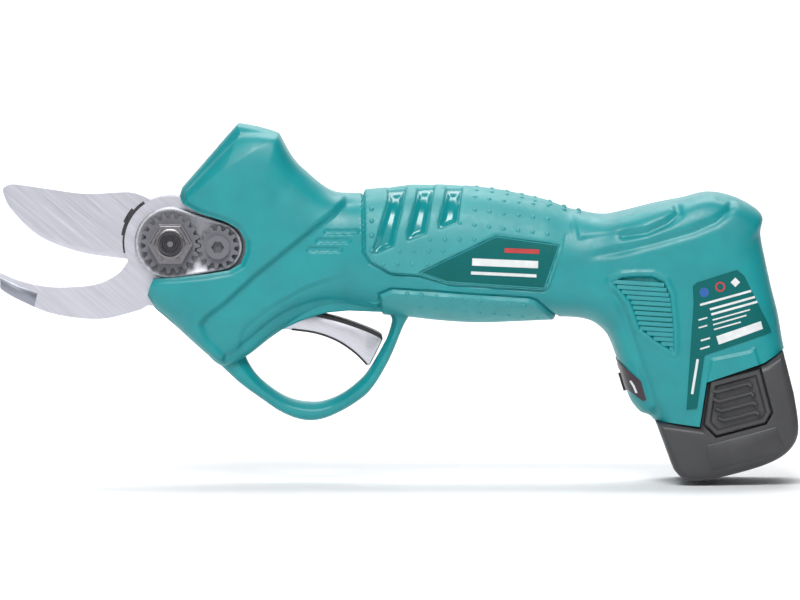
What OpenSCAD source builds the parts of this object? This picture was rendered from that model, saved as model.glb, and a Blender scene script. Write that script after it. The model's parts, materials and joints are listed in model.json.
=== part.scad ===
// Battery electric pruner: bypass head, bevel and planetary drive, pistol housing, slide-in pack.
// Origin: blade pivot axis at the housing's parting plane.
// +X runs from the pivot towards the battery, +Z is up, the housing splits at Y = 0.

/* [Blades] */
// Pivot axis to the cutting blade's tip
blade_len = 63.2; // [50:0.1:80]
// Thickness of the cutting blade
blade_t = 3.5; // [2:0.1:5]
// Thickness of the counter blade
counter_t = 4; // [2.5:0.1:6]
// Radius of the round root of the cutting blade
boss_r = 17; // [14:0.1:17.2]
// Gap between the two blades
blade_gap = 0.1; // [0.05:0.01:0.3]

/* [Pivot] */
// Diameter of the pivot bolt
pivot_d = 8; // [6:0.1:10]
// Wall of the bush that the blade turns on
bush_wall = 2; // [1:0.1:3]
// Thickness of the head plate
plate_t = 3.4; // [2:0.1:6]
// Thickness of the head frame's wall
frame_t = 5; // [3:0.1:7]
// Module of the toothed pivot nut and its lock gear
nut_module = 1; // [0.8:0.05:1.1]
// Teeth of the pivot nut
nut_teeth = 20; // [16:1:22]
// Teeth of the lock gear
lock_teeth = 14; // [10:1:16]

/* [Drive] */
// Teeth of a whole bevel wheel of which the sector is a part
sector_teeth = 50; // [46:2:60]
// Teeth of the bevel pinion
pinion_teeth = 10; // [10:2:12]
// Module of the bevel pair at its large end
bevel_module = 1.1; // [0.9:0.05:1.3]
// Module of the planetary gears
planet_module = 0.55; // [0.45:0.01:0.65]
// Teeth of the sun gears
sun_teeth = 12; // [12:3:18]
// Teeth of the planet gears
planet_teeth = 15; // [15:6:21]
// Face width of the planet gears
planet_face = 6; // [4:0.1:8]
// Diameter of the drive shaft
drive_shaft_d = 8; // [6:0.1:9]
// Diameter of the motor
motor_d = 28; // [24:0.1:34]
// Length of the motor's can
motor_len = 40; // [30:0.1:60]

/* [Housing] */
// Wall of the housing
wall = 2.5; // [2:0.1:3.2]
// Width of the housing at the head
head_w = 37; // [37:0.1:46]
// Width of the trigger guard loop
guard_w = 15; // [10:0.1:20]
// Width of the trigger
trigger_w = 11.2; // [8:0.1:16]
// Travel room between the trigger and its slot, on each side
trigger_gap = 0.6; // [0.3:0.1:1.5]
// Thickness of the rubber grip pads above the housing
pad_t = 0.8; // [0.4:0.1:1.5]

/* [Battery] */
// Diameter of one cell
cell_d = 18.6; // [17:0.1:22]
// Length of one cell
cell_len = 65; // [55:0.1:70]
// Lean of the pack from upright
pack_tilt = 15; // [10:0.5:18]
// Wall of the pack's case round the cells
pack_wall = 1.8; // [1.2:0.1:2.5]
// Gap between the pack's tower and the housing
bay_gap = 1; // [0.5:0.1:2]

/* [Hidden] */
$fn = 48;

// --- Fits -------------------------------------------------------------------------------------
run_fit = 0.05;      // radial gap of a part that turns on another
seat_fit = 0.02;     // radial gap of a part that is pressed or seated
press_angle = 25;    // pressure angle of every gear
flank_gap = 0.1;     // backlash taken off each tooth flank

// --- Stack of the head along Y, from the far wall to the near bolt end -----------------------
pivot_r = pivot_d / 2;
bush_r = pivot_r + bush_wall;
blade_far = -2.5;
blade_near = blade_far - blade_t;
counter_far = blade_near - blade_gap;
counter_near = counter_far - counter_t;
plate_near = counter_near - plate_t;
flange_t = 3;
flange_near = plate_near - flange_t;
hex_t = 4;
hex_near = flange_near - hex_t;
hub_t = 3.1;
hub_far = blade_far + hub_t;
washer_t = 1;
washer_near = hub_far + 0.1;
frame_near = washer_near + washer_t + 0.1;
frame_far = frame_near + frame_t;
bolt_head_t = 5;

// --- Bevel pair -------------------------------------------------------------------------------
axis_y = 1;                                  // the drive axis runs along X at this Y
sector_r = bevel_module * sector_teeth / 2;
pinion_r = bevel_module * pinion_teeth / 2;
bevel_face = 6.4;
pinion_big = sector_r;                       // X of the pinion's large end
pinion_small = sector_r - bevel_face;
tooth_step = 360 / sector_teeth;
sector_from = -6;                            // first and last tooth of the sector
sector_to = 2;
rim_r = sector_r + 1.1;
web_r = 17.8;
web_t = 2.6;
rack_add = 0.8 * bevel_module;
rack_ded = 1.18 * bevel_module;

// --- Places along the drive axis ------------------------------------------------------------
shaft_r = drive_shaft_d / 2;
shaft_end_r = shaft_r - 1;                    // where it is pressed into the output carrier
bearing_r = shaft_r + 4;
block_front = rim_r + 0.7;
block_back = block_front + 8.8;
case_front = block_back + 0.1;
case_wall = 1.5;
ring_teeth = sun_teeth + 2 * planet_teeth;
sun_r = planet_module * sun_teeth / 2;
planet_r = planet_module * planet_teeth / 2;
ring_r = planet_module * ring_teeth / 2;
orbit_r = sun_r + planet_r;
ring_out = ring_r + 1.4;
case_r = ring_out + case_wall;
cavity_front = case_front + 5.5;
carrier_t = 2.8;
carrier_r = orbit_r + 2.8;
out_disc = cavity_front + 0.5;
planets2_x = out_disc + carrier_t + 0.4;
first_disc = planets2_x + planet_face + 3;
planets1_x = first_disc + carrier_t + 0.4;
ring_front = out_disc + carrier_t + 0.1;
ring_back = planets1_x + planet_face + 1.4;
case_back = ring_back + 4.6;
planet_pin_r = 1.25;

// --- Motor ------------------------------------------------------------------------------------
motor_r = motor_d / 2;
motor_x = case_back + 0.1;
can_t = 1.2;
motor_back = motor_x + motor_len;
cap_len = 4;
motor_shaft_r = 2.5;
sun_shaft_r = 1.55;
motor_bearing_r = 5.5;
motor_bearing_w = 4;
stator_r = motor_r - can_t - seat_fit;
rotor_r = motor_r * 0.64;
rotor_front = motor_x + 8;
rotor_len = motor_len - 16;

// --- Pack, in its own frame: u across, v up along the slide ----------------------------------
cell_r = cell_d / 2;
cell_pitch = cell_d + 0.1;
cells_half = cell_pitch / 2 + cell_r;
tower_half = cells_half + pack_wall;
tower_u = 2;
tower_round = 5;
cell_v = 5;
cells_top = cell_v + cell_len;
tower_top = cells_top + 3.2;
tower_split = 40;
pack_half = tower_half + 4.5;
foot_v = -1.5;
tail_x = motor_back + cap_len + 29.7;        // where the grip ends and the tail begins
foot = [tail_x + 57.1, -81.5 - (cell_len - 65)];
slide_dir = [sin(pack_tilt), 0, -cos(pack_tilt)];

// --- Housing outline ------------------------------------------------------------------------
head_half = head_w / 2;
head_grow = max(rim_r - 28.6, 0);            // room for a larger sector
grip_half = max(motor_r + 3, case_r + axis_y + 0.6) + wall;
grip_top = motor_r + 5.3;
grip_low = -motor_r - 13.2;
tail_half = tower_half + bay_gap + wall;
neck_x = case_front;

// One station: [top x, top z, bottom x, bottom z, half width, squareness]
function head_at(tx, tz, bx, bz, w, n) = [tx, tz + head_grow, bx, bz - head_grow, head_half - w, n];
function neck_at(tx, tz, bx, bz, n) =
    [neck_x + tx, grip_top + tz, neck_x + bx, grip_low + bz, max(head_half, grip_half) - 0.6, n];
function grip_at(t, tz, bz, w) =
    [motor_x + 16 + t * (tail_x - motor_x - 16), grip_top + tz,
     motor_x + 9 + t * (tail_x - motor_x - 17), grip_low + bz, grip_half + w, 2.5];
function tail_at(tx, tz, bx, bz, w, n) =
    [tail_x + tx, tz, tail_x + bx, bz, lerp(grip_half, tail_half, w), n];
drop = foot[1] + 81.5;

STATIONS = [
    head_at(3.9, 19.6, -8.6, -19.5, 2, 6),
    head_at(12.2, 29.1, -6.3, -23.2, 1.3, 6),
    head_at(20, 38.1, -2, -27, 0.7, 6),
    head_at(24.2, 42.6, 2.4, -30.9, 0.3, 6),
    head_at(31.5, 41.2, 8, -35.9, 0, 6),
    head_at(38.6, 38.9, 13.2, -40.5, 0, 6),
    head_at(43.1, 31, 19, -45.3, 0, 5),
    neck_at(9.4, 6.7, -11.1, -13.8, 4),
    neck_at(18.4, -0.4, 1.8, -4.1, 3.3),
    neck_at(26, -1.8, 12.9, 0.8, 2.8),
    neck_at(36, -1.2, 25.7, 2.6, 2.6),
    grip_at(0, 0.1, 1.7, -0.3),
    grip_at(0.28, -0.1, 0, 0.3),
    grip_at(0.52, -1.6, -0.8, 0.3),
    grip_at(0.75, -4.4, -0.4, 0),
    tail_at(0.3, 11.5, -7.7, -27, 0.05, 2.5),
    tail_at(9.9, 10, 0.3, -27.2, 0.3, 2.7),
    tail_at(18.3, 11.5, 5.3, -28.3, 0.6, 3),
    tail_at(28.3, 13.9, 8.8, -30.5, 0.88, 3.5),
    tail_at(38.3, 15.8, 11.1, -33, 0.95, 3.9),
    tail_at(47.3, 17.8, 12.5, -35.8, 0.98, 4.3),
    tail_at(55.3, 16.6, 13.7, -38.9, 1, 4.6),
    tail_at(62.7, 13.3, 14.9, -42.2, 1, 4.9),
    tail_at(66.8, 9.4, 15.9, -45.4, 1, 5.2),
    tail_at(66.1, 3.5, 16.9, -48.6, 1, 5.6),
    tail_at(67.5, -4.5, 18, -52 + drop / 4, 1, 6),
    tail_at(69.8, -15 + drop / 3, 19.5, -56.3 + drop / 2, 1, 6),
    tail_at(72.3, -25 + drop * 2 / 3, 22.8, -60.4 + drop, 1, 6),
    tail_at(74.6, -37.6 + drop, 27.6, -63.2 + drop, 1, 6),
    tail_at(78.3, -52 + drop, 32.3, -75 + drop, 1, 6)];
RIBS = smooth(STATIONS, 2);                   // stations with one more between each pair
RIB_N = len(RIBS);
ARC_N = 10;                                   // steps from the bottom edge to the top edge

// Catmull-Rom curve through points of any length
function curve(a, b, c, d, t) =
    0.5 * (2 * b + (c - a) * t + (2 * a - 5 * b + 4 * c - d) * t * t
           + (3 * b - a - 3 * c + d) * t * t * t);
function smooth(p, n) =
    [for (i = [0 : len(p) - 2]) for (k = [0 : n - 1])
        curve(p[max(i - 1, 0)], p[i], p[i + 1], p[min(i + 2, len(p) - 1)], k / n),
     p[len(p) - 1]];
function lerp(a, b, t) = a + (b - a) * t;

// A point on station s at arc angle a (0 bottom, 180 top), moved outwards by g
function skin_point(s, a, g) =
    let (top = [s[0], s[1]],
         low = [s[2], s[3]],
         mid = (top + low) / 2,
         half = norm(top - low) / 2 + g,
         dir = (top - low) / norm(top - low),
         along = -sign(cos(a)) * pow(abs(cos(a)), 2 / s[5]),
         p = mid + dir * half * along)
    [p[0], (s[4] + g) * pow(sin(a), 2 / s[5]), p[1]];
function skin_at(i, j, g) = skin_point(RIBS[i], 180 * j / ARC_N, g);

function quad(a, b, c, d) = [[a, c, b], [a, d, c]];

// Closed solid between two surfaces of the far half, over ribs i0..i1 and arc steps j0..j1
module skin(i0, i1, j0, j1, low, high) {
    rows = i1 - i0 + 1;
    cols = j1 - j0 + 1;
    layer = rows * cols;
    points = [for (g = [high, low]) for (i = [i0 : i1]) for (j = [j0 : j1]) skin_at(i, j, g)];
    faces = [
        for (i = [0 : rows - 2]) for (j = [0 : cols - 2])
            let (a = i * cols + j)
            each quad(a, a + 1, a + 1 + cols, a + cols),
        for (i = [0 : rows - 2]) for (j = [0 : cols - 2])
            let (a = layer + i * cols + j)
            each quad(a, a + cols, a + 1 + cols, a + 1),
        for (j = [0 : cols - 2]) each quad(j, j + layer, j + 1 + layer, j + 1),
        for (j = [0 : cols - 2])
            let (a = (rows - 1) * cols + j)
            each quad(a, a + 1, a + 1 + layer, a + layer),
        for (i = [0 : rows - 2])
            let (a = i * cols)
            each quad(a, a + cols, a + cols + layer, a + layer),
        for (i = [0 : rows - 2])
            let (a = i * cols + cols - 1)
            each quad(a, a + layer, a + cols + layer, a + cols)];
    polyhedron(points, faces, convexity = 8);
}

// --- Helpers ------------------------------------------------------------------------------------
// Extrudes an XZ outline from y0 to y1
module slab(y0, y1) {
    translate([0, y1, 0]) rotate([90, 0, 0]) linear_extrude(y1 - y0) children();
}
// Extrudes a YZ outline along the drive axis
module along(x0, x1) {
    translate([x0, axis_y, 0]) rotate([90, 0, 90]) linear_extrude(x1 - x0) children();
}
module rod_y(r, y0, y1, at = [0, 0]) {
    translate([at[0], y1, at[1]]) rotate([90, 0, 0]) cylinder(r = r, h = y1 - y0);
}
module rod_x(r, x0, x1) {
    translate([x0, axis_y, 0]) rotate([0, 90, 0]) cylinder(r = r, h = x1 - x0);
}
module bearing(r_in, r_out, x0, w) {
    difference() {
        rod_x(r_out, x0, x0 + w);
        rod_x(r_in, x0 - 1, x0 + w + 1);
        for (x = [x0 - 1, x0 + w - 0.3]) {
            difference() {
                rod_x(r_out - 0.9, x, x + 1.3);
                rod_x(r_in + 0.9, x - 1, x + 3);
            }
        }
    }
}
module mirrored(side) {
    mirror([0, side < 0 ? 1 : 0, 0]) children();
}
// Rectangle with round corners
module round_rect(x, y, r) {
    square([x - 2 * r, y], center = true);
    square([x, y - 2 * r], center = true);
    for (i = [-1, 1]) for (j = [-1, 1]) {
        translate([i * (x / 2 - r), j * (y / 2 - r)]) circle(r = r);
    }
}

// --- Gears --------------------------------------------------------------------------------------
function inv(a) = tan(a) * 180 / PI - a;
function polar(r, a) = [r * cos(a), r * sin(a)];
// Outline of a spur gear, a tooth centred on angle 0; gap is taken off each flank
function gear_points(z, m, add, ded, gap, steps = 4) =
    let (r = m * z / 2,
         base = r * cos(press_angle),
         tip = r + add,
         root = r - ded,
         start = max(root, base),
         half = 90 / z - gap / r * 180 / PI + inv(press_angle))
    [for (k = [0 : z - 1]) let (a = 360 * k / z)
        each concat(
            root < base ? [polar(root, a - half)] : [],
            [for (i = [0 : steps]) let (q = lerp(start, tip, i / steps))
                polar(q, a - half + inv(acos(base / q)))],
            [for (i = [0 : steps]) let (q = lerp(tip, start, i / steps))
                polar(q, a + half - inv(acos(base / q)))],
            root < base ? [polar(root, a + half)] : [])];
module planetary_gear(z, turn = 0) {
    rotate(turn) polygon(gear_points(z, planet_module, 0.95 * planet_module,
                                     1.2 * planet_module, flank_gap / 2));
}
// Carries an outline at the big end of the bevel pair, tapered towards the apex
module bevel_taper() {
    translate([pinion_big, axis_y, 0]) rotate([90, 0, -90])
        linear_extrude(pinion_big - pinion_small, scale = pinion_small / pinion_big) children();
}

// --- Blades -------------------------------------------------------------------------------------
function blade_x(f) = -blade_len * f;
rivet_r = 2;
rivet_ring = (boss_r + bush_r) / 2;
rivet_turns = [-25, 95, 215];
blade_edge = [[-8, -4.5], [blade_x(0.244), -6], [blade_x(0.484), -4],
              [blade_x(0.669), -0.3], [blade_x(0.793), 4.2], [blade_x(0.918), 12.6],
              [blade_x(0.957), 18.4]];
blade_back = [[blade_x(0.953), 19.6], [blade_x(0.92), 20.6], [blade_x(0.87), 20.7],
              [blade_x(0.731), 19.4], [blade_x(0.484), 17.4], [blade_x(0.237), 18.1],
              [blade_x(0.16), 16.5], [-6, 11]];
module cutting_blade() {
    color([0.78, 0.78, 0.8]) difference() {
        union() {
            rod_y(boss_r, blade_near, blade_far);
            slab(blade_near, blade_far)
                polygon(concat(smooth(blade_edge, 5), smooth(blade_back, 4)));
        }
        rod_y(bush_r + run_fit, blade_near - 1, blade_far + 1);
        for (a = rivet_turns) {
            rod_y(rivet_r + seat_fit, blade_near - 1, blade_far + 1, polar(rivet_ring, a));
        }
    }
}

frame_lugs = [[22, 28 + head_grow], [6.5, -23], [16, -30 - head_grow / 2]];
lug_r = 4.6;
frame_bolt_r = 2;
counter_inner = [[blade_x(0.967), -10.9], [blade_x(0.918), -12.2], [blade_x(0.793), -15],
                 [blade_x(0.607), -16.1], [blade_x(0.422), -15], [blade_x(0.299), -11.1],
                 [blade_x(0.245), -6.4], [-10, -2]];
counter_outer = [[7, -26], [-7.2, -22.4], [blade_x(0.176), -24.1], [blade_x(0.36), -27.1],
                 [blade_x(0.607), -26.3], [blade_x(0.793), -22.8], [blade_x(0.941), -17.9],
                 [blade_x(0.971), -15.5], [blade_x(0.972), -12]];
module counter_blade() {
    color([0.72, 0.72, 0.75]) difference() {
        union() {
            rod_y(boss_r - 0.3, counter_near, counter_far);
            slab(counter_near, counter_far)
                polygon(concat(smooth(counter_inner, 4), [[0, 0], [9, -18]], smooth(counter_outer, 4)));
            slab(counter_near, counter_far)
                polygon([frame_lugs[1] + [2.8, 3.2], frame_lugs[2] + [2.8, 3.2],
                         frame_lugs[2] - [2.8, 3.2], frame_lugs[1] - [2.8, 3.2]]);
            for (i = [1, 2]) rod_y(lug_r, counter_near, counter_far, frame_lugs[i]);
        }
        rod_y(pivot_r + run_fit, counter_near - 1, counter_far + 1);
        for (i = [1, 2]) {
            rod_y(frame_bolt_r + seat_fit, counter_near - 1, counter_far + 1, frame_lugs[i]);
        }
    }
}

// --- Sector gear --------------------------------------------------------------------------------
function root_y(r) = axis_y - (pinion_r + rack_ded) * r / sector_r;
module sector_tooth() {
    half = PI * bevel_module / 4 - flank_gap;
    slope = tan(press_angle);
    sink = rack_ded + 0.35;
    tip = pinion_r - rack_add;
    foot_x = pinion_r + sink;
    bevel_taper() polygon([[tip, half - rack_add * slope], [tip, rack_add * slope - half],
                           [foot_x, -half - sink * slope], [foot_x, half + sink * slope]]);
}
module sector_gear() {
    from = (sector_from - 0.1) * tooth_step;
    to = (sector_to + 1.1) * tooth_step;
    inner = rivet_ring + rivet_r + 1;
    color([0.42, 0.43, 0.46]) difference() {
        union() {
            rotate([90, 0, 0]) rotate([0, 0, from]) rotate_extrude(angle = to - from)
                polygon([[bush_r + 1, 2.5], [web_r, 2.5], [web_r, 9], [rim_r, 9],
                         [rim_r, -root_y(rim_r)], [web_r + web_t, -root_y(web_r + web_t)],
                         [web_r + web_t, -hub_far], [bush_r + 1, -hub_far]]);
            rod_y(inner, blade_far, hub_far);
            for (k = [sector_from : sector_to]) {
                rotate([0, -(k + 0.5) * tooth_step, 0]) sector_tooth();
            }
        }
        rod_y(bush_r + run_fit, blade_far - 1, hub_far + 1);
        for (a = rivet_turns) {
            rod_y(rivet_r + seat_fit, blade_far - 1, hub_far + 1, polar(rivet_ring, a));
        }
    }
}
module sector_rivets() {
    color([0.7, 0.7, 0.72]) for (a = rivet_turns) {
        rod_y(rivet_r, blade_near, hub_far, polar(rivet_ring, a));
    }
}

// --- Pivot --------------------------------------------------------------------------------------
module hexagon(across) {
    circle(d = across / cos(30), $fn = 6);
}
nut_r = nut_module * nut_teeth / 2;
lock_r = nut_module * lock_teeth / 2;
lock_at = polar(nut_r + lock_r, -4.4);
module pivot_bolt() {
    color([0.35, 0.35, 0.38]) {
        rod_y(pivot_r, hex_near - 1.5, frame_far);
        slab(frame_far, frame_far + bolt_head_t) hexagon(pivot_d * 1.6);
    }
}
module pivot_nut() {
    across = pivot_d * 1.75;
    color([0.3, 0.3, 0.33]) difference() {
        union() {
            slab(flange_near, plate_near - 0.1) rotate(-4.4)
                polygon(gear_points(nut_teeth, nut_module, 0.7 * nut_module, nut_module, flank_gap));
            slab(hex_near, flange_near) hexagon(across);
            rod_y(pivot_r + 2.2, plate_near - 0.2, plate_near);
        }
        rod_y(pivot_r + seat_fit, hex_near - 1, plate_near + 1);
    }
}
module lock_gear() {
    color([0.3, 0.3, 0.33]) difference() {
        translate([lock_at[0], 0, lock_at[1]]) slab(flange_near + 0.4, plate_near - 0.1)
            rotate(180 - 4.4 + 180 / lock_teeth)
            polygon(gear_points(lock_teeth, nut_module, 0.6 * nut_module, nut_module, flank_gap));
        rod_y(lock_screw_r + seat_fit, flange_near, plate_near + 1, lock_at);
    }
}
lock_screw_r = 2.5;
lock_head_r = 4.25;
module lock_screw() {
    color([0.32, 0.32, 0.35]) difference() {
        union() {
            rod_y(lock_screw_r, flange_near, plate_near + plate_t - 0.3, lock_at);
            rod_y(lock_head_r, flange_near - 1.6, flange_near + 0.4, lock_at);
        }
        translate([lock_at[0], 0, lock_at[1]])
            slab(flange_near - 2, flange_near + 0.9) hexagon(4);
    }
}
module pivot_bush() {
    color([0.7, 0.55, 0.3]) difference() {
        rod_y(bush_r, counter_far, frame_near);
        rod_y(pivot_r + seat_fit, counter_far - 1, frame_near + 1);
    }
}
module thrust_washer() {
    color([0.7, 0.6, 0.4]) difference() {
        rod_y(boss_r - 2, washer_near, washer_near + washer_t);
        rod_y(bush_r + run_fit, washer_near - 1, washer_near + washer_t + 1);
    }
}
plate_r = nut_r + 2.9;
plate_end_r = lock_r + 1.9;
module head_plate() {
    color([0.8, 0.8, 0.82]) difference() {
        slab(plate_near, counter_near) hull() {
            circle(r = plate_r);
            translate(lock_at) circle(r = plate_end_r);
        }
        rod_y(pivot_r + run_fit, plate_near - 1, counter_near + 1);
        rod_y(lock_screw_r + seat_fit, plate_near - 1, counter_near + 1, lock_at);
    }
}

// --- Head frame ---------------------------------------------------------------------------------
pinion_window = pinion_r + bevel_module + 0.9;
block_half_z = bearing_r + 1.6;
block_y = [axis_y - bearing_r - 0.8, axis_y + bearing_r + 0.8];
module head_frame() {
    color([0.62, 0.63, 0.66]) difference() {
        union() {
            rod_y(boss_r - 3, frame_near, frame_far);
            for (p = frame_lugs) rod_y(lug_r, frame_near, frame_far, p);
            slab(frame_near, frame_far)
                polygon([[-8, 8], [6, 15], frame_lugs[0] + [-4, 2.4], frame_lugs[0] + [3.6, 2.8],
                         [block_back, 16], [block_back, -16], frame_lugs[2] + [3.4, -3],
                         frame_lugs[2] + [-2.6, -3.8], frame_lugs[1] + [-3.6, -2.8], [-10, -8]]);
            translate([block_front, block_y[0], -block_half_z])
                cube([block_back - block_front, block_y[1] - block_y[0], 2 * block_half_z]);
            rod_y(lug_r, counter_near, frame_far, frame_lugs[0]);
            rod_y(lug_r, counter_far, frame_far, frame_lugs[1]);
            rod_y(lug_r, counter_far, frame_far, frame_lugs[2]);
        }
        rod_y(pivot_r + run_fit, frame_near - 1, frame_far + 1);
        rod_x(bearing_r + seat_fit, block_front + 1.8, block_back + 1);
        rod_x(shaft_r + 2, block_front - 1, block_back);
        translate([pinion_small - 1.2, block_y[0], -pinion_window])
            cube([block_front - pinion_small + 1.2, 40, 2 * pinion_window]);
        for (p = frame_lugs) rod_y(frame_bolt_r + seat_fit, counter_near - 1, frame_far - 1.5, p);
    }
}
module frame_bolts() {
    color([0.35, 0.35, 0.38]) for (i = [0 : 2]) {
        start = counter_near;
        rod_y(frame_bolt_r, start, frame_far - 1.6, frame_lugs[i]);
        difference() {
            rod_y(frame_bolt_r + 1.7, start - 2, start, frame_lugs[i]);
            translate([frame_lugs[i][0], 0, frame_lugs[i][1]])
                slab(start - 3, start - 0.8) hexagon(2.5);
        }
    }
}

// --- Gearbox ------------------------------------------------------------------------------------
module gearbox_case() {
    color([0.55, 0.56, 0.58]) difference() {
        rod_x(case_r, case_front, case_back);
        rod_x(shaft_r + 1, case_front - 1, case_back);
        rod_x(bearing_r + seat_fit, case_front + 0.6, case_back);
        rod_x(ring_out + seat_fit, cavity_front, case_back + 1);
    }
}
module shaft_bearings() {
    color([0.75, 0.75, 0.78]) {
        bearing(shaft_r + run_fit, bearing_r, block_front + 2.2, 5);
        bearing(shaft_r + run_fit, bearing_r, case_front + 0.7, 4.4);
    }
}
module ring_gear() {
    color([0.5, 0.5, 0.53]) difference() {
        rod_x(ring_out, ring_front, case_back);
        along(ring_front - 1, ring_back)
            polygon(gear_points(ring_teeth, planet_module, 1.2 * planet_module,
                                0.8 * planet_module, -flank_gap / 2, 3));
        rod_x(ring_r + 0.75, ring_back - 0.01, case_back + 1);
    }
}
module carrier_body(x) {
    rod_x(carrier_r, x, x + carrier_t);
    for (k = [0 : 2]) {
        translate([0, orbit_r * cos(120 * k), orbit_r * sin(120 * k)])
            rod_x(planet_pin_r, x + carrier_t - 0.5, x + carrier_t + planet_face + 0.9);
    }
}
module output_carrier() {
    color([0.6, 0.6, 0.63]) difference() {
        carrier_body(out_disc);
        rod_x(shaft_end_r + seat_fit, out_disc - 1, out_disc + carrier_t + 1);
    }
}
module first_carrier() {
    color([0.6, 0.6, 0.63]) {
        carrier_body(first_disc);
        along(planets2_x + 0.1, first_disc + 0.5) planetary_gear(sun_teeth);
    }
}
module planet(x, k) {
    color([0.66, 0.66, 0.7])
        translate([0, orbit_r * cos(120 * k), orbit_r * sin(120 * k)])
        difference() {
            along(x, x + planet_face) planetary_gear(planet_teeth, 120 * k);
            rod_x(planet_pin_r + run_fit, x - 1, x + planet_face + 1);
        }
}
module bevel_pinion() {
    color([0.45, 0.46, 0.5]) {
        bevel_taper() polygon(gear_points(pinion_teeth, bevel_module, 0.9 * bevel_module,
                                          bevel_module, flank_gap));
        rod_x(shaft_r, pinion_big - 0.5, out_disc);
        rod_x(shaft_end_r, out_disc - 0.5, out_disc + carrier_t);
    }
}
module sun_gear() {
    color([0.66, 0.66, 0.7]) difference() {
        along(planets1_x + 0.2, planets1_x + planet_face + 1) planetary_gear(sun_teeth);
        rod_x(sun_shaft_r + seat_fit, planets1_x - 1, planets1_x + planet_face + 2);
    }
}

// --- Motor --------------------------------------------------------------------------------------
module motor_can() {
    color([0.5, 0.5, 0.52]) difference() {
        rod_x(motor_r, motor_x, motor_back);
        rod_x(motor_r - can_t, motor_x + 2 * can_t + motor_bearing_w, motor_back + 1);
        rod_x(motor_bearing_r + seat_fit, motor_x + can_t, motor_back);
        rod_x(motor_shaft_r + 1, motor_x - 1, motor_back);
    }
}
module motor_stator() {
    slots = 9;
    inner = rotor_r + 0.5;
    color([0.72, 0.45, 0.25]) difference() {
        rod_x(stator_r, rotor_front, rotor_front + rotor_len);
        rod_x(inner, rotor_front - 1, rotor_front + rotor_len + 1);
        for (k = [0 : slots - 1]) translate([0, axis_y, 0]) rotate([360 * k / slots, 0, 0])
            translate([rotor_front - 1, inner - 1, -0.6]) cube([rotor_len + 2, 2.2, 1.2]);
    }
}
module motor_rotor() {
    color([0.4, 0.4, 0.42]) difference() {
        rod_x(rotor_r, rotor_front + 0.5, rotor_front + rotor_len - 0.5);
        rod_x(motor_shaft_r + seat_fit, rotor_front - 1, rotor_front + rotor_len + 1);
    }
}
module motor_shaft() {
    color([0.75, 0.75, 0.78]) {
        rod_x(motor_shaft_r, motor_x + 0.2, motor_back + cap_len - 1);
        rod_x(sun_shaft_r, planets1_x + 0.2, motor_x + 0.4);
    }
}
module motor_end_cap() {
    color([0.15, 0.15, 0.17]) difference() {
        rod_x(motor_r, motor_back + 0.1, motor_back + cap_len + 0.1);
        rod_x(motor_bearing_r + seat_fit, motor_back - 1, motor_back + cap_len - 1);
    }
}
module motor_bearings() {
    color([0.75, 0.75, 0.78]) {
        bearing(motor_shaft_r + run_fit, motor_bearing_r, motor_x + can_t + 0.1, motor_bearing_w);
        bearing(motor_shaft_r + run_fit, motor_bearing_r, motor_back - 1.2, motor_bearing_w);
    }
}

// --- Trigger ------------------------------------------------------------------------------------
trigger_at = [36, -24 - head_grow / 2];
trigger_pin_r = 1.5;
slot_half = trigger_w / 2 + trigger_gap;
trigger_face = [[39.4, -31.3], [45.2, -31.9], [52.6, -33.1], [59.7, -35.8], [65.9, -40],
                [70.2, -44.3]];
trigger_top = [[76, -35], [75.6, -33.6], [72, -31.8], [65.9, -29.4], [59.7, -27.4], [51.4, -25.2],
               [45, -23.6]];
module trigger() {
    drop_z = trigger_at[1] + 24;
    color([0.7, 0.7, 0.73]) difference() {
        translate([0, 0, drop_z]) slab(-trigger_w / 2, trigger_w / 2) union() {
            polygon(concat([[36, -27.6]], smooth(trigger_face, 4), [[71.4, -44]],
                           smooth(trigger_top, 3), [[36, -20.4]]));
            translate([36, -24]) circle(r = 3.6);
        }
        rod_y(trigger_pin_r + run_fit, -20, 20, trigger_at);
        translate([trigger_at[0] - 5, -spring_half - 0.4, trigger_at[1] - 4.2])
            cube([10.4, 2 * spring_half + 0.8, 8.4]);
    }
}
module trigger_pin() {
    color([0.7, 0.7, 0.73]) rod_y(trigger_pin_r, -slot_half - 3, slot_half + 3, trigger_at);
}
// Tube along a path that never runs parallel to Y
module wire(path, r, sides = 8) {
    n = len(path);
    function frame_at(i) =
        let (t = path[min(i + 1, n - 1)] - path[max(i - 1, 0)],
             u = cross([0, 1, 0], t),
             w = cross(t, u))
        [u / norm(u), w / norm(w)];
    points = [for (i = [0 : n - 1]) let (f = frame_at(i)) for (k = [0 : sides - 1])
        path[i] + r * (f[0] * cos(360 * k / sides) + f[1] * sin(360 * k / sides))];
    faces = [
        [for (k = [0 : sides - 1]) k],
        [for (k = [sides - 1 : -1 : 0]) (n - 1) * sides + k],
        for (i = [0 : n - 2]) for (k = [0 : sides - 1])
            let (a = i * sides + k, b = i * sides + (k + 1) % sides)
            each quad(a, b, b + sides, a + sides)];
    polyhedron(points, faces, convexity = 6);
}
spring_turns = 3;
spring_wire = 0.4;
spring_half = 1.6;
module trigger_spring() {
    coil_r = trigger_pin_r + 0.3 + spring_wire;
    steps = 14;
    coil = [for (i = [0 : spring_turns * steps]) let (a = 360 * i / steps)
        [trigger_at[0] + coil_r * cos(a),
         -spring_half + spring_wire + 2 * (spring_half - spring_wire) * i / (spring_turns * steps),
         trigger_at[1] + coil_r * sin(a)]];
    color([0.75, 0.75, 0.78]) wire(coil, spring_wire, 6);
}
switch_z = -case_r - 0.4;
module trigger_switch() {
    color([0.12, 0.12, 0.14]) {
        translate([55, -3.2, switch_z - 5.2]) cube([13, 6.4, 5.2]);
        translate([57, -1, switch_z - 6]) cube([2.4, 2, 1]);
    }
}

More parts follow.
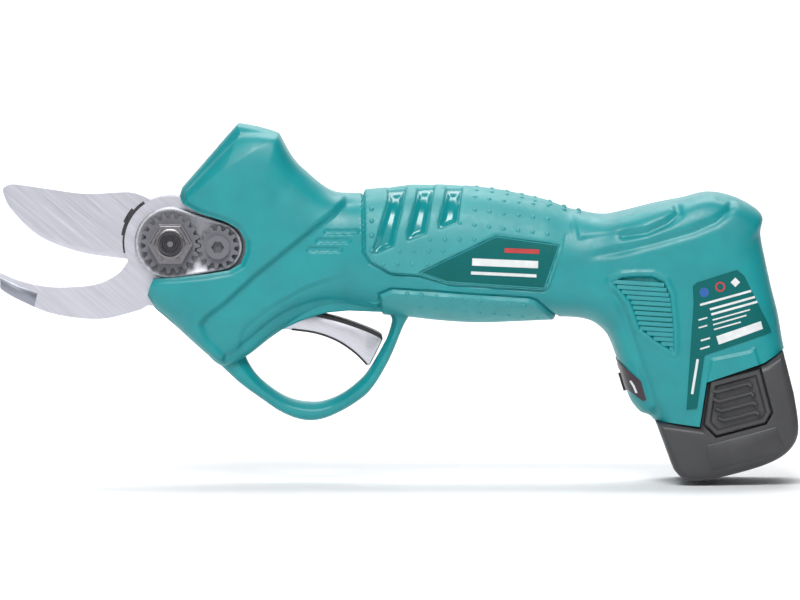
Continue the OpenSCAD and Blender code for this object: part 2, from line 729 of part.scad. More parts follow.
// --- Boards and wiring --------------------------------------------------------------------------
board_z = grip_low + wall + 5.3;
board_x = motor_x + 5;
board_len = tail_x - board_x - 6;
module main_board() {
    color([0.1, 0.35, 0.2]) {
        translate([board_x, -11, board_z]) cube([board_len, 22, 1.6]);
        for (k = [0 : 5]) translate([board_x + 5 + 9 * k, -8, board_z - 2.2]) cube([6, 6, 2.3]);
        for (k = [0 : 2]) translate([board_x + 8 + 12 * k, 2, board_z + 1.5]) cube([7, 7, 1.4]);
    }
}
lead_turns = [-5, 0, 5];
module motor_leads() {
    x0 = motor_back + cap_len + 0.2;
    color([0.7, 0.1, 0.1]) for (y = lead_turns) {
        wire(smooth([[x0, y, -4], [x0 + 3, y, -5], [x0 + 6, y, -9], [x0 + 8, y, board_z + 4],
                     [x0 + 8.5, y, board_z + 1.7]], 4), 0.9);
    }
}

// --- Pack ---------------------------------------------------------------------------------------
// Children are drawn in the pack's frame: X is u, Y is width, Z is v
module pack_frame() {
    translate([foot[0], 0, foot[1]]) rotate([0, -pack_tilt, 0]) children();
}
module pack_slab(y0, y1) {
    pack_frame() slab(y0, y1) children();
}
button_u = 5.5;
button_v = 24;
button_w = 24;
button_h = 19;
pocket_gap = 0.4;
button_t = 2.6;
button_travel = 1.2;
skirt_gap = 0.5;
right_u = tower_u + tower_half + 5;
left_u = tower_u - tower_half - 4.7;
skirt_edge = [[left_u - 0.3, 25.3], [-8.5, 19], [-2, 33.8], [19.8, 35.2], [right_u + 0.3, 37.9]];
pack_side = [[left_u + 1.7, 5], [left_u + 4.6, 2.2], [-12, foot_v], [15, foot_v],
             [right_u - 7.3, 0.2], [right_u - 3.2, 5], [right_u - 1, 20]];
module pack_outline() {
    inset = [-0.3, 0, 0, 0, 0.3];
    top = [for (k = [4 : -1 : 0]) skirt_edge[k] - [inset[k], skirt_gap]];
    polygon(concat(pack_side, top));
}
module tower(v0, v1, grow) {
    pack_frame() translate([tower_u, 0, v0]) linear_extrude(v1 - v0)
        round_rect(2 * (tower_half + grow), 2 * (tower_half + grow), tower_round + grow);
}
module button_outline(grow) {
    w = button_w / 2 + grow;
    h = button_h / 2 + grow;
    translate([button_u, button_v])
        polygon([[-w + 3, -h], [w - 3, -h], [w, -h + 3], [w, h], [-w + 6, h], [-w, -h + 5]]);
}
module battery_case() {
    color([0.3, 0.3, 0.32]) difference() {
        union() {
            pack_slab(-pack_half, pack_half) pack_outline();
            tower(10, tower_split, 0);
        }
        pack_frame() translate([tower_u, 0, cell_v - 0.3])
            linear_extrude(tower_split) square(2 * (cells_half + 0.2), center = true);
        for (side = [-1, 1]) mirrored(side) {
            pack_slab(pack_half - button_t - button_travel - 0.3, pack_half + 1)
                button_outline(pocket_gap);
        }
    }
}
module battery_top() {
    color([0.16, 0.16, 0.18]) difference() {
        tower(tower_split + 0.02, tower_top + 3, 0);
        pack_frame() translate([tower_u, 0, tower_split - 1]) linear_extrude(tower_top - tower_split + 1)
            square(2 * (cells_half + 0.2), center = true);
        for (k = [-2 : 2]) pack_frame()
            translate([tower_u - 8, 7 * k - 1, tower_top - 1]) cube([16, 2, 6]);
    }
}
module battery_cells() {
    color([0.2, 0.45, 0.5]) for (i = [-1, 1]) for (j = [-1, 1]) {
        pack_frame() translate([tower_u + i * cell_pitch / 2, j * cell_pitch / 2, cell_v])
            cylinder(r = cell_r, h = cell_len);
    }
}
module battery_board() {
    color([0.1, 0.35, 0.2]) pack_frame() translate([tower_u, 0, cells_top + 0.4])
        linear_extrude(1.2) square([2 * cells_half - 4, 2 * cells_half - 4], center = true);
}
module battery_terminals() {
    color([0.8, 0.65, 0.35]) for (k = [-2 : 2]) pack_frame() difference() {
        translate([tower_u - 6, 7 * k - 0.9, cells_top + 1.6]) cube([12, 1.8, 4]);
        translate([tower_u - 7, 7 * k - 0.45, cells_top + 2.4]) cube([14, 0.9, 4]);
    }
}
module release_button() {
    ribs = 4;
    pack_slab(pack_half - button_t + 0.2, pack_half) button_outline(0);
    for (k = [0 : ribs - 1]) {
        pack_frame() translate([button_u - 7, pack_half - 0.1, button_v - 7 + 4.1 * k])
            cube([14, 0.8, 1.6]);
    }
}
module release_left() {
    color([0.25, 0.25, 0.27]) mirrored(-1) release_button();
}
module release_right() {
    color([0.25, 0.25, 0.27]) release_button();
}
block_v = tower_top + 3.6;
module contact_block() {
    color([0.12, 0.12, 0.14]) pack_frame() translate([tower_u - 9, -18, block_v]) cube([18, 36, 6]);
}
module contact_blades() {
    color([0.8, 0.65, 0.35]) for (k = [-2 : 2]) pack_frame()
        translate([tower_u - 4, 7 * k - 0.4, cells_top + 3]) cube([8, 0.8, block_v - cells_top - 3]);
}
module battery_leads() {
    start = [board_x + board_len - 6, 0, board_z + 1.7];
    finish = [foot[0] - (block_v + 6.2) * sin(pack_tilt) + (tower_u - 6) * cos(pack_tilt), 0,
              foot[1] + (block_v + 6.2) * cos(pack_tilt) + (tower_u - 6) * sin(pack_tilt)];
    color([0.7, 0.1, 0.1]) for (y = [-3, 3]) {
        wire(smooth([start + [0, y, 0], start + [1, y, 5], lerp(start, finish, 0.45) + [0, y, 6],
                     finish + [-7, y, 4.5], finish + [-1, y, 4], finish + [0, y, 0]], 4), 1.1);
    }
}

// --- Control panel on the front face of the tail ---------------------------------------------
panel_ribs = [45, 52];
panel_mid = 48;
panel_t = 0.3;
power_r = 3.4;
power_travel = 0.8;
lens_r = 0.8;
// Children stand on the panel: X up along its face, Z outwards
module panel_frame() {
    mid = RIBS[panel_mid];
    down = [RIBS[panel_mid + 2][2] - RIBS[panel_mid - 2][2],
            RIBS[panel_mid + 2][3] - RIBS[panel_mid - 2][3]];
    translate([mid[2], 0, mid[3]]) rotate([0, atan2(down[1], -down[0]), 0]) children();
}
module panel_holes() {
    panel_frame() {
        translate([-1.8, 0, -8]) cylinder(r = power_r + 0.25, h = 12);
        for (y = [-3, 0, 3]) translate([4, y, -1.6]) cylinder(r = lens_r + seat_fit, h = 6);
    }
}
module control_panel() {
    color([0.12, 0.12, 0.13]) difference() {
        for (side = [-1, 1]) mirrored(side) skin(panel_ribs[0], panel_ribs[1], 0, 2, 0, panel_t);
        panel_holes();
    }
}
module power_button() {
    color([0.2, 0.2, 0.22]) panel_frame() translate([-1.8, 0, 0]) {
        translate([0, 0, -3.4]) cylinder(r = power_r, h = 4.6);
        translate([0, 0, -4.6]) cylinder(r = power_r + 1.2, h = 1.2);
    }
}
module indicator_lens() {
    color([0.6, 0.9, 0.6]) panel_frame() for (y = [-3, 0, 3]) {
        translate([4, y, -1.5]) cylinder(r = lens_r, h = 2.1);
    }
}

// --- Housing --------------------------------------------------------------------------------
notch = [[3.5, 16.2], [4.5, 14.1], [10, 11], [19.7, 7.9], [24.5, 5.2], [26.9, 1], [26.9, -3.1],
         [25.2, -7.2], [21.1, -9.6], [12.8, -11], [2.5, -12.2], [-4.4, -12.7], [-20, -14],
         [-20, 24], [2, 20]];
collar_t = 1.8;
guard_outer = [[86.5, -25], [84.5, -28.2], [83.2, -30.7], [78.3, -42.3], [72.1, -52.6], [65.9, -58],
               [57.6, -62.5], [51, -64.2], [45.2, -63.5], [39, -60.9], [32.8, -56.7], [24.6, -50.7],
               [17, -43.6]];
guard_inner = [[26.5, -38.6], [27, -42.3], [30.7, -48.1], [36.9, -53.4], [43.2, -56.7], [50.2, -57.9],
               [55.5, -57.3], [61.7, -54.6], [68, -49.7], [71.7, -45.1], [76.2, -37.3], [77.8, -34],
               [79.3, -28.6], [78.7, -26.4], [76.2, -24]];
// Screw bosses: place, and how far each reaches from the parting plane
bosses = [[34, 33, 16.5], [23, -36.5, 14], [motor_x + 1.5, -motor_r - 4.6, 11.5],
          [tail_x - 14, 2, 14.5], [tail_x + 3, -motor_r - 6.3, 14.3], [tail_x + 60, 6, 18]];
boss_out = 3;
screw_r = 1.3;
screw_head_r = 2.4;
screw_cover = 2.5;
function edge_world(p) =
    [foot[0] + p[0] * cos(pack_tilt) - p[1] * sin(pack_tilt),
     foot[1] + p[0] * sin(pack_tilt) + p[1] * cos(pack_tilt)];
module housing_half() {
    difference() {
        union() {
            skin(0, RIB_N - 1, 0, ARC_N, -wall, 0);
            slab(0, guard_w / 2) polygon(concat(guard_outer, guard_inner));
            for (p = bosses) rod_y(boss_out, 0, p[2], p);
            slab(-plate_near + 0.3, head_half - 2.2) difference() {
                intersection() {
                    offset(delta = collar_t) polygon(notch);
                    polygon([[4, 18], [40, 18], [40, -20], [-7, -20], [-6.5, -12]]);
                }
                polygon(notch);
            }
        }
        slab(-plate_near - 6, 40) polygon(notch);
        translate([trigger_at[0], -1, -44]) cube([34.5, slot_half + 1, 26]);
        slab(-1, 60) polygon(concat([for (p = skirt_edge) edge_world(p)],
                                    [edge_world([right_u + 30, 37.9]), edge_world([60, -120]),
                                     edge_world([-60, -120]), edge_world([left_u - 30, 25.3])]));
        rod_y(trigger_pin_r + seat_fit, -1, slot_half + 3.2, trigger_at);
        for (p = bosses) rod_y(screw_r + seat_fit, -1, p[2] - screw_cover, p);
        panel_holes();
    }
}
module housing_left() {
    color([0.1, 0.59, 0.59]) difference() {
        mirrored(-1) housing_half();
        slab(counter_near - 0.2, counter_far + 0.1)
            polygon([[-14, -30], [1, -30], [1, -14], [-14, -10]]);
    }
}
module housing_right() {
    color([0.1, 0.59, 0.59]) difference() {
        housing_half();
        for (p = bosses) rod_y(screw_head_r + 0.2, p[2] - screw_cover - 1, 60, p);
    }
}
module housing_screws() {
    color([0.3, 0.3, 0.32]) for (p = bosses) {
        rod_y(screw_r, -p[2] + screw_cover + 1, p[2] - screw_cover - 1, p);
        difference() {
            rod_y(screw_head_r, p[2] - screw_cover - 1, p[2] - screw_cover + 0.8, p);
            translate([p[0], 0, p[1]]) slab(p[2] - screw_cover, p[2]) hexagon(2);
        }
    }
}
// Arc steps and ribs that the thin surface pieces cover
module grip_upper() {
    skin(20, 29, 6, ARC_N, 0, pad_t);
}
module grip_lower() {
    difference() {
        skin(21, 29, 0, 3, 0, pad_t);
        slab(-1, guard_w / 2 + 0.1) offset(delta = 0.1) polygon(concat(guard_outer, guard_inner));
    }
}
module side_badge() {
    skin(23, 28, 5, 6, 0, 0.3);
}
module grip_upper_left() {
    color([0.05, 0.45, 0.45]) mirrored(-1) grip_upper();
}
module grip_upper_right() {
    color([0.05, 0.45, 0.45]) grip_upper();
}
module grip_lower_left() {
    color([0.05, 0.45, 0.45]) mirrored(-1) grip_lower();
}
module grip_lower_right() {
    color([0.05, 0.45, 0.45]) grip_lower();
}
module side_badges() {
    color([0, 0.4, 0.4]) for (side = [-1, 1]) mirrored(side) side_badge();
}
module rating_label() {
    color([0, 0.4, 0.4]) for (side = [-1, 1]) mirrored(side) skin(48, 54, 5, 7, 0, 0.3);
}

head_frame();
head_plate();
counter_blade();
cutting_blade();
sector_gear();
sector_rivets();
pivot_bolt();
pivot_nut();
lock_gear();
lock_screw();
pivot_bush();
thrust_washer();
frame_bolts();
gearbox_case();
ring_gear();
shaft_bearings();
output_carrier();
first_carrier();
planet(planets1_x, 0);  // planet_1a
planet(planets1_x, 1);  // planet_1b
planet(planets1_x, 2);  // planet_1c
planet(planets2_x, 0);  // planet_2a
planet(planets2_x, 1);  // planet_2b
planet(planets2_x, 2);  // planet_2c
bevel_pinion();
sun_gear();
motor_can();
motor_stator();
motor_rotor();
motor_shaft();
motor_end_cap();
motor_bearings();
housing_left();
housing_right();
grip_upper_left();
grip_upper_right();
grip_lower_left();
grip_lower_right();
side_badges();
rating_label();
control_panel();
power_button();
indicator_lens();
housing_screws();
trigger();
trigger_pin();
trigger_spring();
trigger_switch();
main_board();
contact_block();
contact_blades();
motor_leads();
battery_leads();
battery_case();
battery_top();
battery_cells();
battery_board();
battery_terminals();
release_left();
release_right();
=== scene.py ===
"""Looks of the battery pruner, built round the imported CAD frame.

Outlines are in millimetres, in the frame's XZ plane. The far side is modelled and mirrored to the near side.
"""
import json
import math

import bpy
import numpy as np
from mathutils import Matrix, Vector
from mathutils.geometry import delaunay_2d_cdt


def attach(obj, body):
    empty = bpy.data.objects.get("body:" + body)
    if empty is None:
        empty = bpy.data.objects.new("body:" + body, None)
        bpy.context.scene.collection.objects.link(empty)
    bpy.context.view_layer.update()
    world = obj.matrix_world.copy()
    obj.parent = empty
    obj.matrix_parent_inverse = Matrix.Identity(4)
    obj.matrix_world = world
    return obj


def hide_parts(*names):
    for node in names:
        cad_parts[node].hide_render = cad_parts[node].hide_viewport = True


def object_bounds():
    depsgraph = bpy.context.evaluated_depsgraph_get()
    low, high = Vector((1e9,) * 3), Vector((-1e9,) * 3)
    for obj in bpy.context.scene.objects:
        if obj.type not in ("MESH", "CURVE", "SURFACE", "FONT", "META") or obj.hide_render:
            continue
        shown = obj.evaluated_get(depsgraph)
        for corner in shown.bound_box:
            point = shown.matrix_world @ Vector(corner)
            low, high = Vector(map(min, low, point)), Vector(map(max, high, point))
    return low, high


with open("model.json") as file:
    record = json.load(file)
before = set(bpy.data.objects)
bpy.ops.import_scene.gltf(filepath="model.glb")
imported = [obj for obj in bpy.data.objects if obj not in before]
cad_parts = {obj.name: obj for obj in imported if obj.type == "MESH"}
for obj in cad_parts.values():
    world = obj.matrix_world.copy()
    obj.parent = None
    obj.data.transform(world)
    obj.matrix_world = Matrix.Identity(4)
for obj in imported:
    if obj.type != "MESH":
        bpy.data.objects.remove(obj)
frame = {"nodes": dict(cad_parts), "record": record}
START_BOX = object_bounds()

MM = 0.001
WALL = 4.2                         # thicker than the CAD shell, so the relief never cuts through
PAD_RISE = 0.8                     # rubber pads above the shell
PAD_CROWN, PAD_ROUND = 1.1, 1.1    # the pads' pillow shape: height and width of its rounded edge
CLEAR_Y = 60                       # past the tool's widest point, for cutting prisms

# --- Housing loft: the CAD part's stations, with rounder corners on the first four ---
# Each is [top x, top z, bottom x, bottom z, half width, squareness].
NECK_X, TOP, LOW = 38.2, 19.3, -27.2
MOTOR_X, TAIL_X = 71.7, 145.4
HEAD_W, GRIP_W, TAIL_W = 18.5, 19.5, 23.95


def head_at(tx, tz, bx, bz, w, n):
    return [tx, tz, bx, bz, HEAD_W - w, n]


def neck_at(tx, tz, bx, bz, n):
    return [NECK_X + tx, TOP + tz, NECK_X + bx, LOW + bz, GRIP_W - 0.6, n]


def grip_at(t, tz, bz, w):
    return [MOTOR_X + 16 + t * (TAIL_X - MOTOR_X - 16), TOP + tz,
            MOTOR_X + 9 + t * (TAIL_X - MOTOR_X - 17), LOW + bz, GRIP_W + w, 2.5]


def tail_at(tx, tz, bx, bz, w, n):
    return [TAIL_X + tx, tz, TAIL_X + bx, bz, GRIP_W + (TAIL_W - GRIP_W) * w, n]


STATIONS = np.array([
    head_at(3.9, 19.6, -8.6, -19.5, 2, 4.4),
    head_at(12.2, 29.1, -6.3, -23.2, 1.3, 4.4),
    head_at(20, 38.1, -2, -27, 0.7, 4.4),
    head_at(24.2, 42.6, 2.4, -30.9, 0.3, 4.6),
    head_at(31.5, 41.2, 8, -35.9, 0, 6),
    head_at(38.6, 38.9, 13.2, -40.5, 0, 6),
    head_at(43.1, 31, 18.6, -44.4, 0, 5),
    neck_at(9.4, 6.7, -11.1, -13.8, 4),
    neck_at(18.4, -0.4, 1.8, -4.1, 3.3),
    neck_at(26, -1.8, 12.9, 0.8, 2.8),
    neck_at(36, -1.2, 25.7, 2.6, 2.6),
    grip_at(0, 0.1, 1.7, -0.3),
    grip_at(0.28, -0.1, 0, 0.3),
    grip_at(0.52, -1.6, -0.8, 0.3),
    grip_at(0.75, -4.4, -0.4, 0),
    tail_at(0.3, 11.5, -7.7, -27, 0.05, 2.5),
    tail_at(9.9, 10, 0.3, -27.2, 0.3, 2.7),
    tail_at(18.3, 11.5, 5.3, -28.3, 0.6, 3),
    tail_at(28.3, 13.9, 8.8, -30.5, 0.88, 3.5),
    tail_at(38.3, 15.8, 11.1, -33, 0.95, 3.9),
    tail_at(47.3, 17.8, 12.5, -35.8, 0.98, 4.3),
    tail_at(55.3, 16.6, 13.7, -38.9, 1, 4.6),
    tail_at(62.7, 13.3, 14.9, -42.2, 1, 4.9),
    tail_at(66.8, 9.4, 15.9, -45.4, 1, 5.2),
    tail_at(66.1, 3.5, 16.9, -48.6, 1, 5.6),
    tail_at(67.5, -4.5, 18, -52, 1, 6),
    tail_at(69.8, -15, 19.5, -56.3, 1, 6),
    tail_at(72.3, -25, 22.8, -60.4, 1, 6),
    tail_at(74.6, -37.6, 27.6, -63.2, 1, 6),
    tail_at(78.3, -52, 32.3, -75, 1, 6)])
CREASED = {3: 0.9, 5: 0.75}        # stations where the top line turns sharply, and how sharply

# --- Outlines of the housing's features ---
NOTCH = [(3.5, 16.2), (4.5, 14.1), (10, 11), (19.7, 7.9), (24.5, 5.2), (26.9, 1), (26.9, -3.1), (25.2, -7.2),
         (21.1, -9.6), (12.8, -11), (2.5, -12.2), (-4.4, -12.7), (-20, -14), (-20, 24), (2, 20)]
BULGE = [(61, 16), (57.5, 12.3), (44, 1.5), (30, -9.7), (19, -19.8), (11.6, -25.4), (8.9, -29), (10.7, -35.5),
         (17.1, -41.9), (19, -50), (-20, -60), (-20, 60), (66, 60)]
THROAT = [(60.3, -11.1), (48.4, -15.3), (34.6, -22.6), (26.3, -29), (24, -33.6), (24.9, -41), (24, -60),
          (100, -60), (100, -6)]
TOP_FACET = [(39.6, 38.6), (30, 33.6), (18.5, 26.3), (10, 19), (0, 12), (-10, 30), (20, 60), (44, 46)]
GROOVES = [[(56, 4.5), (66.5, 4.5)], [(53, 1.1), (63.6, 1.1)], [(49.8, -2.2), (60.7, -2.2)]]
PAD = [(69, 17.3), (69.3, -3.4), (71.5, -6.8), (78.8, -10.7), (89.1, -11.5), (99, -14.6), (133.7, -17),
       (136, -15), (140.6, -1.7), (141.5, 3), (147, 5.2), (157, 7.5), (158.5, 30), (64, 30)]
BADGE = [(89.1, -10.3), (116.4, 2.8), (139.3, -0.4), (134, -16.2), (99, -13.8)]
WINDOWS = [[(78, 18.1), (84.2, 18.5), (79.6, -0.8), (73.6, -3.3), (72.6, -2.2), (78, 14.8)],
           [(88.7, 18.7), (94.3, 19.1), (91.2, 3.6), (85.2, 1.4), (84.8, 4), (87.9, 14.8)],
           [(98.9, 18.7), (104.4, 18.7), (102.6, 7.7), (96.5, 5.4), (96.2, 7.7), (98.2, 14.8)]]
PAD_LOW = [(74.9, -18.3), (79.5, -16.4), (128.4, -19.7), (131, -20.6), (138.7, -27.2), (139, -40), (76, -40)]
LOUVRE = [(157.7, -13.4), (161.5, -11.6), (166.1, -11.2), (172.5, -11.2), (176.7, -13.4), (178.8, -18.1),
          (179.9, -29.7), (180, -38.6), (173.6, -34.6), (167.9, -30.2), (166.7, -27), (164.6, -20.7)]
LABEL = [(186.8, -14.9), (188.3, -13.6), (202.6, -9.1), (205.2, -11.2), (214.7, -30.2), (214.9, -31.5),
         (192.3, -39.2), (191, -39.8), (188.4, -58.7), (184.6, -59.2), (187.1, -21)]
PANEL = [(150, -42.3), (160.2, -42.2), (168.4, -49), (170.3, -55.8), (169.1, -56.2), (164, -52.4),
         (150, -52.4)]
CREST = [(145.5, 0.8), (162, 3.1), (170.3, 4.3), (177.7, 7.7), (181.8, 10.9), (181.3, 13.2), (181, 24),
         (140, 24)]
TAIL_CREASES = [[(146.4, -5.2), (161.1, -2.4), (174, 0.8), (186.8, 4.5), (195.1, 8.1), (200.6, 12.7),
                 (200.6, 15.9), (197, 17.3)],
                [(158.5, -17.5), (162.5, -26), (164.5, -31.9), (167, -38.7), (169.1, -45.6), (171.6, -52.5),
                 (173.5, -60)],
                [(162, 3.1), (170.3, 4.3), (177.7, 7.7), (181.8, 10.9), (181.3, 13.2)]]
LIP = [(191.6, -49), (193.3, -40.8), (207, -38), (209.3, -36.2), (211.4, -44), (208, -60), (190, -60)]
GUARD_OUTER = [(86.5, -25), (84.5, -28.2), (83.2, -30.7), (78.3, -42.3), (72.1, -52.6), (65.9, -58),
               (57.6, -62.5), (51, -64.2), (45.2, -63.5), (39, -60.9), (32.8, -56.7), (24.6, -50.7),
               (17, -43.6)]
GUARD_INNER = [(76.2, -24), (78.7, -26.4), (79.3, -28.6), (77.8, -34), (76.2, -37.3), (71.7, -45.1),
               (68, -49.7), (61.7, -54.6), (55.5, -57.3), (50.2, -57.9), (43.2, -56.7), (36.9, -53.4),
               (30.7, -48.1), (27, -42.3), (26.5, -38.6)]
GUARD_HALF = 7.5
CHEEK_EDGE = [(26, -40.5), (33, -36), (39.9, -31.3), (46, -28.4), (51, -26.6), (56, -25.2), (63.8, -24.5),
              (76, -25)]
COUNTER_CUT = [(-14, -30), (1, -30), (1, -14), (-14, -10)]
TRIGGER_SLOT = [(36, -44), (70.5, -44), (70.5, -18), (36, -18)]
SLOT_HALF = 6.2
NOTCH_FLOOR = 7.5                  # the head's notch is cut down to this y

# --- Pack, in its own leaning frame ---
PACK_FOOT, PACK_TILT, PACK_HALF = (202.5, -81.5), math.radians(15), 24.95
TOWER_U, TOWER_HALF = 2, 20.45
SKIRT = [(-23.45, 25.3), (-8.5, 19), (-2, 33.8), (19.8, 35.2), (27.75, 37.9)]
PACK_SIDE = [(-21.3, 6.5), (-19.6, 3.2), (-17, 1.2), (-13, 0), (-6, -0.5), (4, -0.6), (12, -0.1), (18, 1.3),
             (22.3, 3.9), (25, 7.6), (26.3, 13), (27.2, 22)]
BUTTON_AT, BUTTON_SIZE = (5.5, 24), (24, 19)


# --- Small geometry helpers ---
def smoothstep(t):
    t = np.clip(t, 0, 1)
    return t * t * (3 - 2 * t)


def catmull(points, s, creased=None):
    """Catmull-Rom curve through points, at positions s counted in points, tighter at the creased points."""
    p = np.asarray(points, float)
    slope = (p[np.minimum(np.arange(len(p)) + 1, len(p) - 1)] - p[np.maximum(np.arange(len(p)) - 1, 0)]) / 2
    for k, amount in (creased or {}).items():
        slope[k] *= 1 - amount
    i = np.clip(np.floor(s).astype(int), 0, len(p) - 2)
    t = (s - i)[:, None]
    b, c, m, n = p[i], p[i + 1], slope[i], slope[i + 1]
    return (b * (1 + 2 * t) * (1 - t) ** 2 + m * t * (1 - t) ** 2 + c * t * t * (3 - 2 * t)
            + n * t * t * (t - 1))


def station_at(s):
    return catmull(STATIONS, s, CREASED)


def resample(points, count):
    """Points at even spacing along a polyline."""
    p = np.asarray(points, float)
    arc = np.concatenate([[0], np.cumsum(np.linalg.norm(np.diff(p, axis=0), axis=1))])
    t = np.linspace(0, arc[-1], count)
    return np.stack([np.interp(t, arc, p[:, k]) for k in range(p.shape[1])], 1)


def curved(points, step=1.0):
    """A smooth open curve through points, at about one point per step."""
    p = np.asarray(points, float)
    dense = catmull(p, np.linspace(0, len(p) - 1, len(p) * 24))
    length = np.linalg.norm(np.diff(dense, axis=0), axis=1).sum()
    return resample(dense, max(int(length / step), 2))


def line_distance(x, z, line, closed=False):
    p = np.asarray(line, float)
    q = np.roll(p, -1, axis=0) if closed else p[1:]
    best = np.full(np.shape(x), 1e9)
    for a, b in zip(p, q):
        d = b - a
        t = np.clip(((x - a[0]) * d[0] + (z - a[1]) * d[1]) / (d @ d), 0, 1)
        best = np.minimum(best, np.hypot(x - a[0] - t * d[0], z - a[1] - t * d[1]))
    return best


def area_distance(x, z, outline):
    """Distance to an outline, negative inside it."""
    inside = np.zeros(np.shape(x), bool)
    p = np.asarray(outline, float)
    for a, b in zip(p, np.roll(p, -1, axis=0)):
        crosses = (a[1] > z) != (b[1] > z)
        at = a[0] + (z - a[1]) / np.where(b[1] == a[1], 1e-9, b[1] - a[1]) * (b[0] - a[0])
        inside ^= crosses & (x < at)
    far = line_distance(x, z, p, closed=True)
    return np.where(inside, -far, far)


def signed_area(p):
    return 0.5 * np.sum(p[:, 0] * np.roll(p[:, 1], -1) - np.roll(p[:, 0], -1) * p[:, 1])


def inset(outline, amount):
    """Outline moved inwards by amount, corner by corner."""
    p = np.asarray(outline, float)
    turn = np.sign(signed_area(p))
    ahead = np.roll(p, -1, axis=0) - p
    ahead /= np.linalg.norm(ahead, axis=1)[:, None]
    back = np.roll(ahead, 1, axis=0)
    normal = turn * np.stack([-(ahead + back)[:, 1], (ahead + back)[:, 0]], 1)
    normal /= np.linalg.norm(normal, axis=1)[:, None]
    lean = np.abs(np.sum(normal * np.stack([-ahead[:, 1], ahead[:, 0]], 1), 1))
    return p + normal * (amount / np.maximum(lean, 0.5))[:, None]


def in_pack(points):
    """Points of the pack's leaning frame, in the tool's frame."""
    c, s = math.cos(PACK_TILT), math.sin(PACK_TILT)
    return [(PACK_FOOT[0] + u * c - v * s, PACK_FOOT[1] + u * s + v * c) for u, v in points]


# --- Mesh helpers ---
def new_object(name, verts, faces):
    mesh = bpy.data.meshes.new(name)
    mesh.from_pydata((np.asarray(verts, float) * MM).tolist(), [], faces)
    obj = bpy.data.objects.new(name, mesh)
    bpy.context.scene.collection.objects.link(obj)
    return obj


def dress(obj, material, body, slot, *nodes, angle=34):
    """Gives a finished piece its shading, material, body and the CAD nodes that it stands for. Its slot
    argument is not used.
    """
    mesh = obj.data
    mesh.polygons.foreach_set("use_smooth", np.ones(len(mesh.polygons), bool))
    mesh.set_sharp_from_angle(angle=math.radians(angle))
    mesh.update()
    mesh.materials.clear()
    mesh.materials.append(material)
    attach(obj, body)
    if nodes:
        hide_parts(*nodes)


def mirrored(obj, name):
    """A copy on the other side of the parting plane."""
    mesh = obj.data.copy()
    mesh.name = name
    mesh.transform(((1, 0, 0, 0), (0, -1, 0, 0), (0, 0, 1, 0), (0, 0, 0, 1)))
    mesh.flip_normals()
    twin = bpy.data.objects.new(name, mesh)
    bpy.context.scene.collection.objects.link(twin)
    return twin


def combine(obj, operation, tools):
    """Applies solid booleans and removes the tools."""
    for tool in tools:
        step = obj.modifiers.new("step", "BOOLEAN")
        step.operation = operation
        step.solver = "MANIFOLD"
        step.object = tool
    bpy.context.view_layer.update()
    result = bpy.data.meshes.new_from_object(obj.evaluated_get(bpy.context.evaluated_depsgraph_get()))
    obj.modifiers.clear()
    obj.data = result
    for tool in tools:
        bpy.data.objects.remove(tool)
    return obj


def ring_faces(count, n, base=0):
    """Faces of a closed solid through count rings of n points each, from vertex base on."""
    faces = []
    for r in range(count - 1):
        for k in range(n):
            a, b = base + r * n + k, base + r * n + (k + 1) % n
            faces.append((a, b, b + n, a + n))
    faces.append(tuple(base + k for k in reversed(range(n))))
    faces.append(tuple(base + (count - 1) * n + k for k in range(n)))
    return faces


def rings_solid(name, rings):
    return new_object(name, np.vstack(rings), ring_faces(len(rings), len(rings[0])))


def side_ring(outline, y):
    p = np.asarray(outline, float)
    return np.stack([p[:, 0], np.full(len(p), float(y)), p[:, 1]], 1)


def slab(name, outline, profile):
    """Solid with an XZ outline. Profile rows are (inset, y), from the far side to the near side."""
    p = np.asarray(outline, float)
    if signed_area(p) < 0:
        p = p[::-1]
    return rings_solid(name, [side_ring(inset(p, a) if a else p, y) for a, y in profile])


def prism(outline, y0, y1):
    return slab("tool", outline, [(0, y1), (0, y0)])


def disc(r, at, count):
    a = np.linspace(0, 2 * math.pi, count, endpoint=False)
    return np.stack([at[0] + r * np.cos(a), at[1] + r * np.sin(a)], 1)


def rod(r, y0, y1, at):
    return slab("tool", disc(r, at, 32), [(0, y1), (0, y0)])


def soft_profile(y_far, y_near, r, steps):
    """Profile rows of a slab whose two faces have edges rounded by r."""
    turns = [math.pi / 2 * k / steps for k in range(steps + 1)]
    far = [(r * (1 - math.sin(t)), y_far - r * (1 - math.cos(t))) for t in turns]
    near = [(r * (1 - math.sin(t)), y_near + r * (1 - math.cos(t))) for t in reversed(turns)]
    return far + near


# --- Housing surface ---
BULGE_DROP, THROAT_DROP, FACET_DROP = 2.6, 0.7, 2.4
NOTCH_DROP, GROOVE_DROP, WINDOW_DROP = 1.3, 0.55, 0.9
CREASE_DROP, PAD_GROOVE, SEAM_GROOVE = 1.0, 0.7, 0.35
CREST_RISE, LIP_RISE = 0.7, 0.7
LOUVRE_DROP, LOUVRE_RIM = 1.7, 0.5


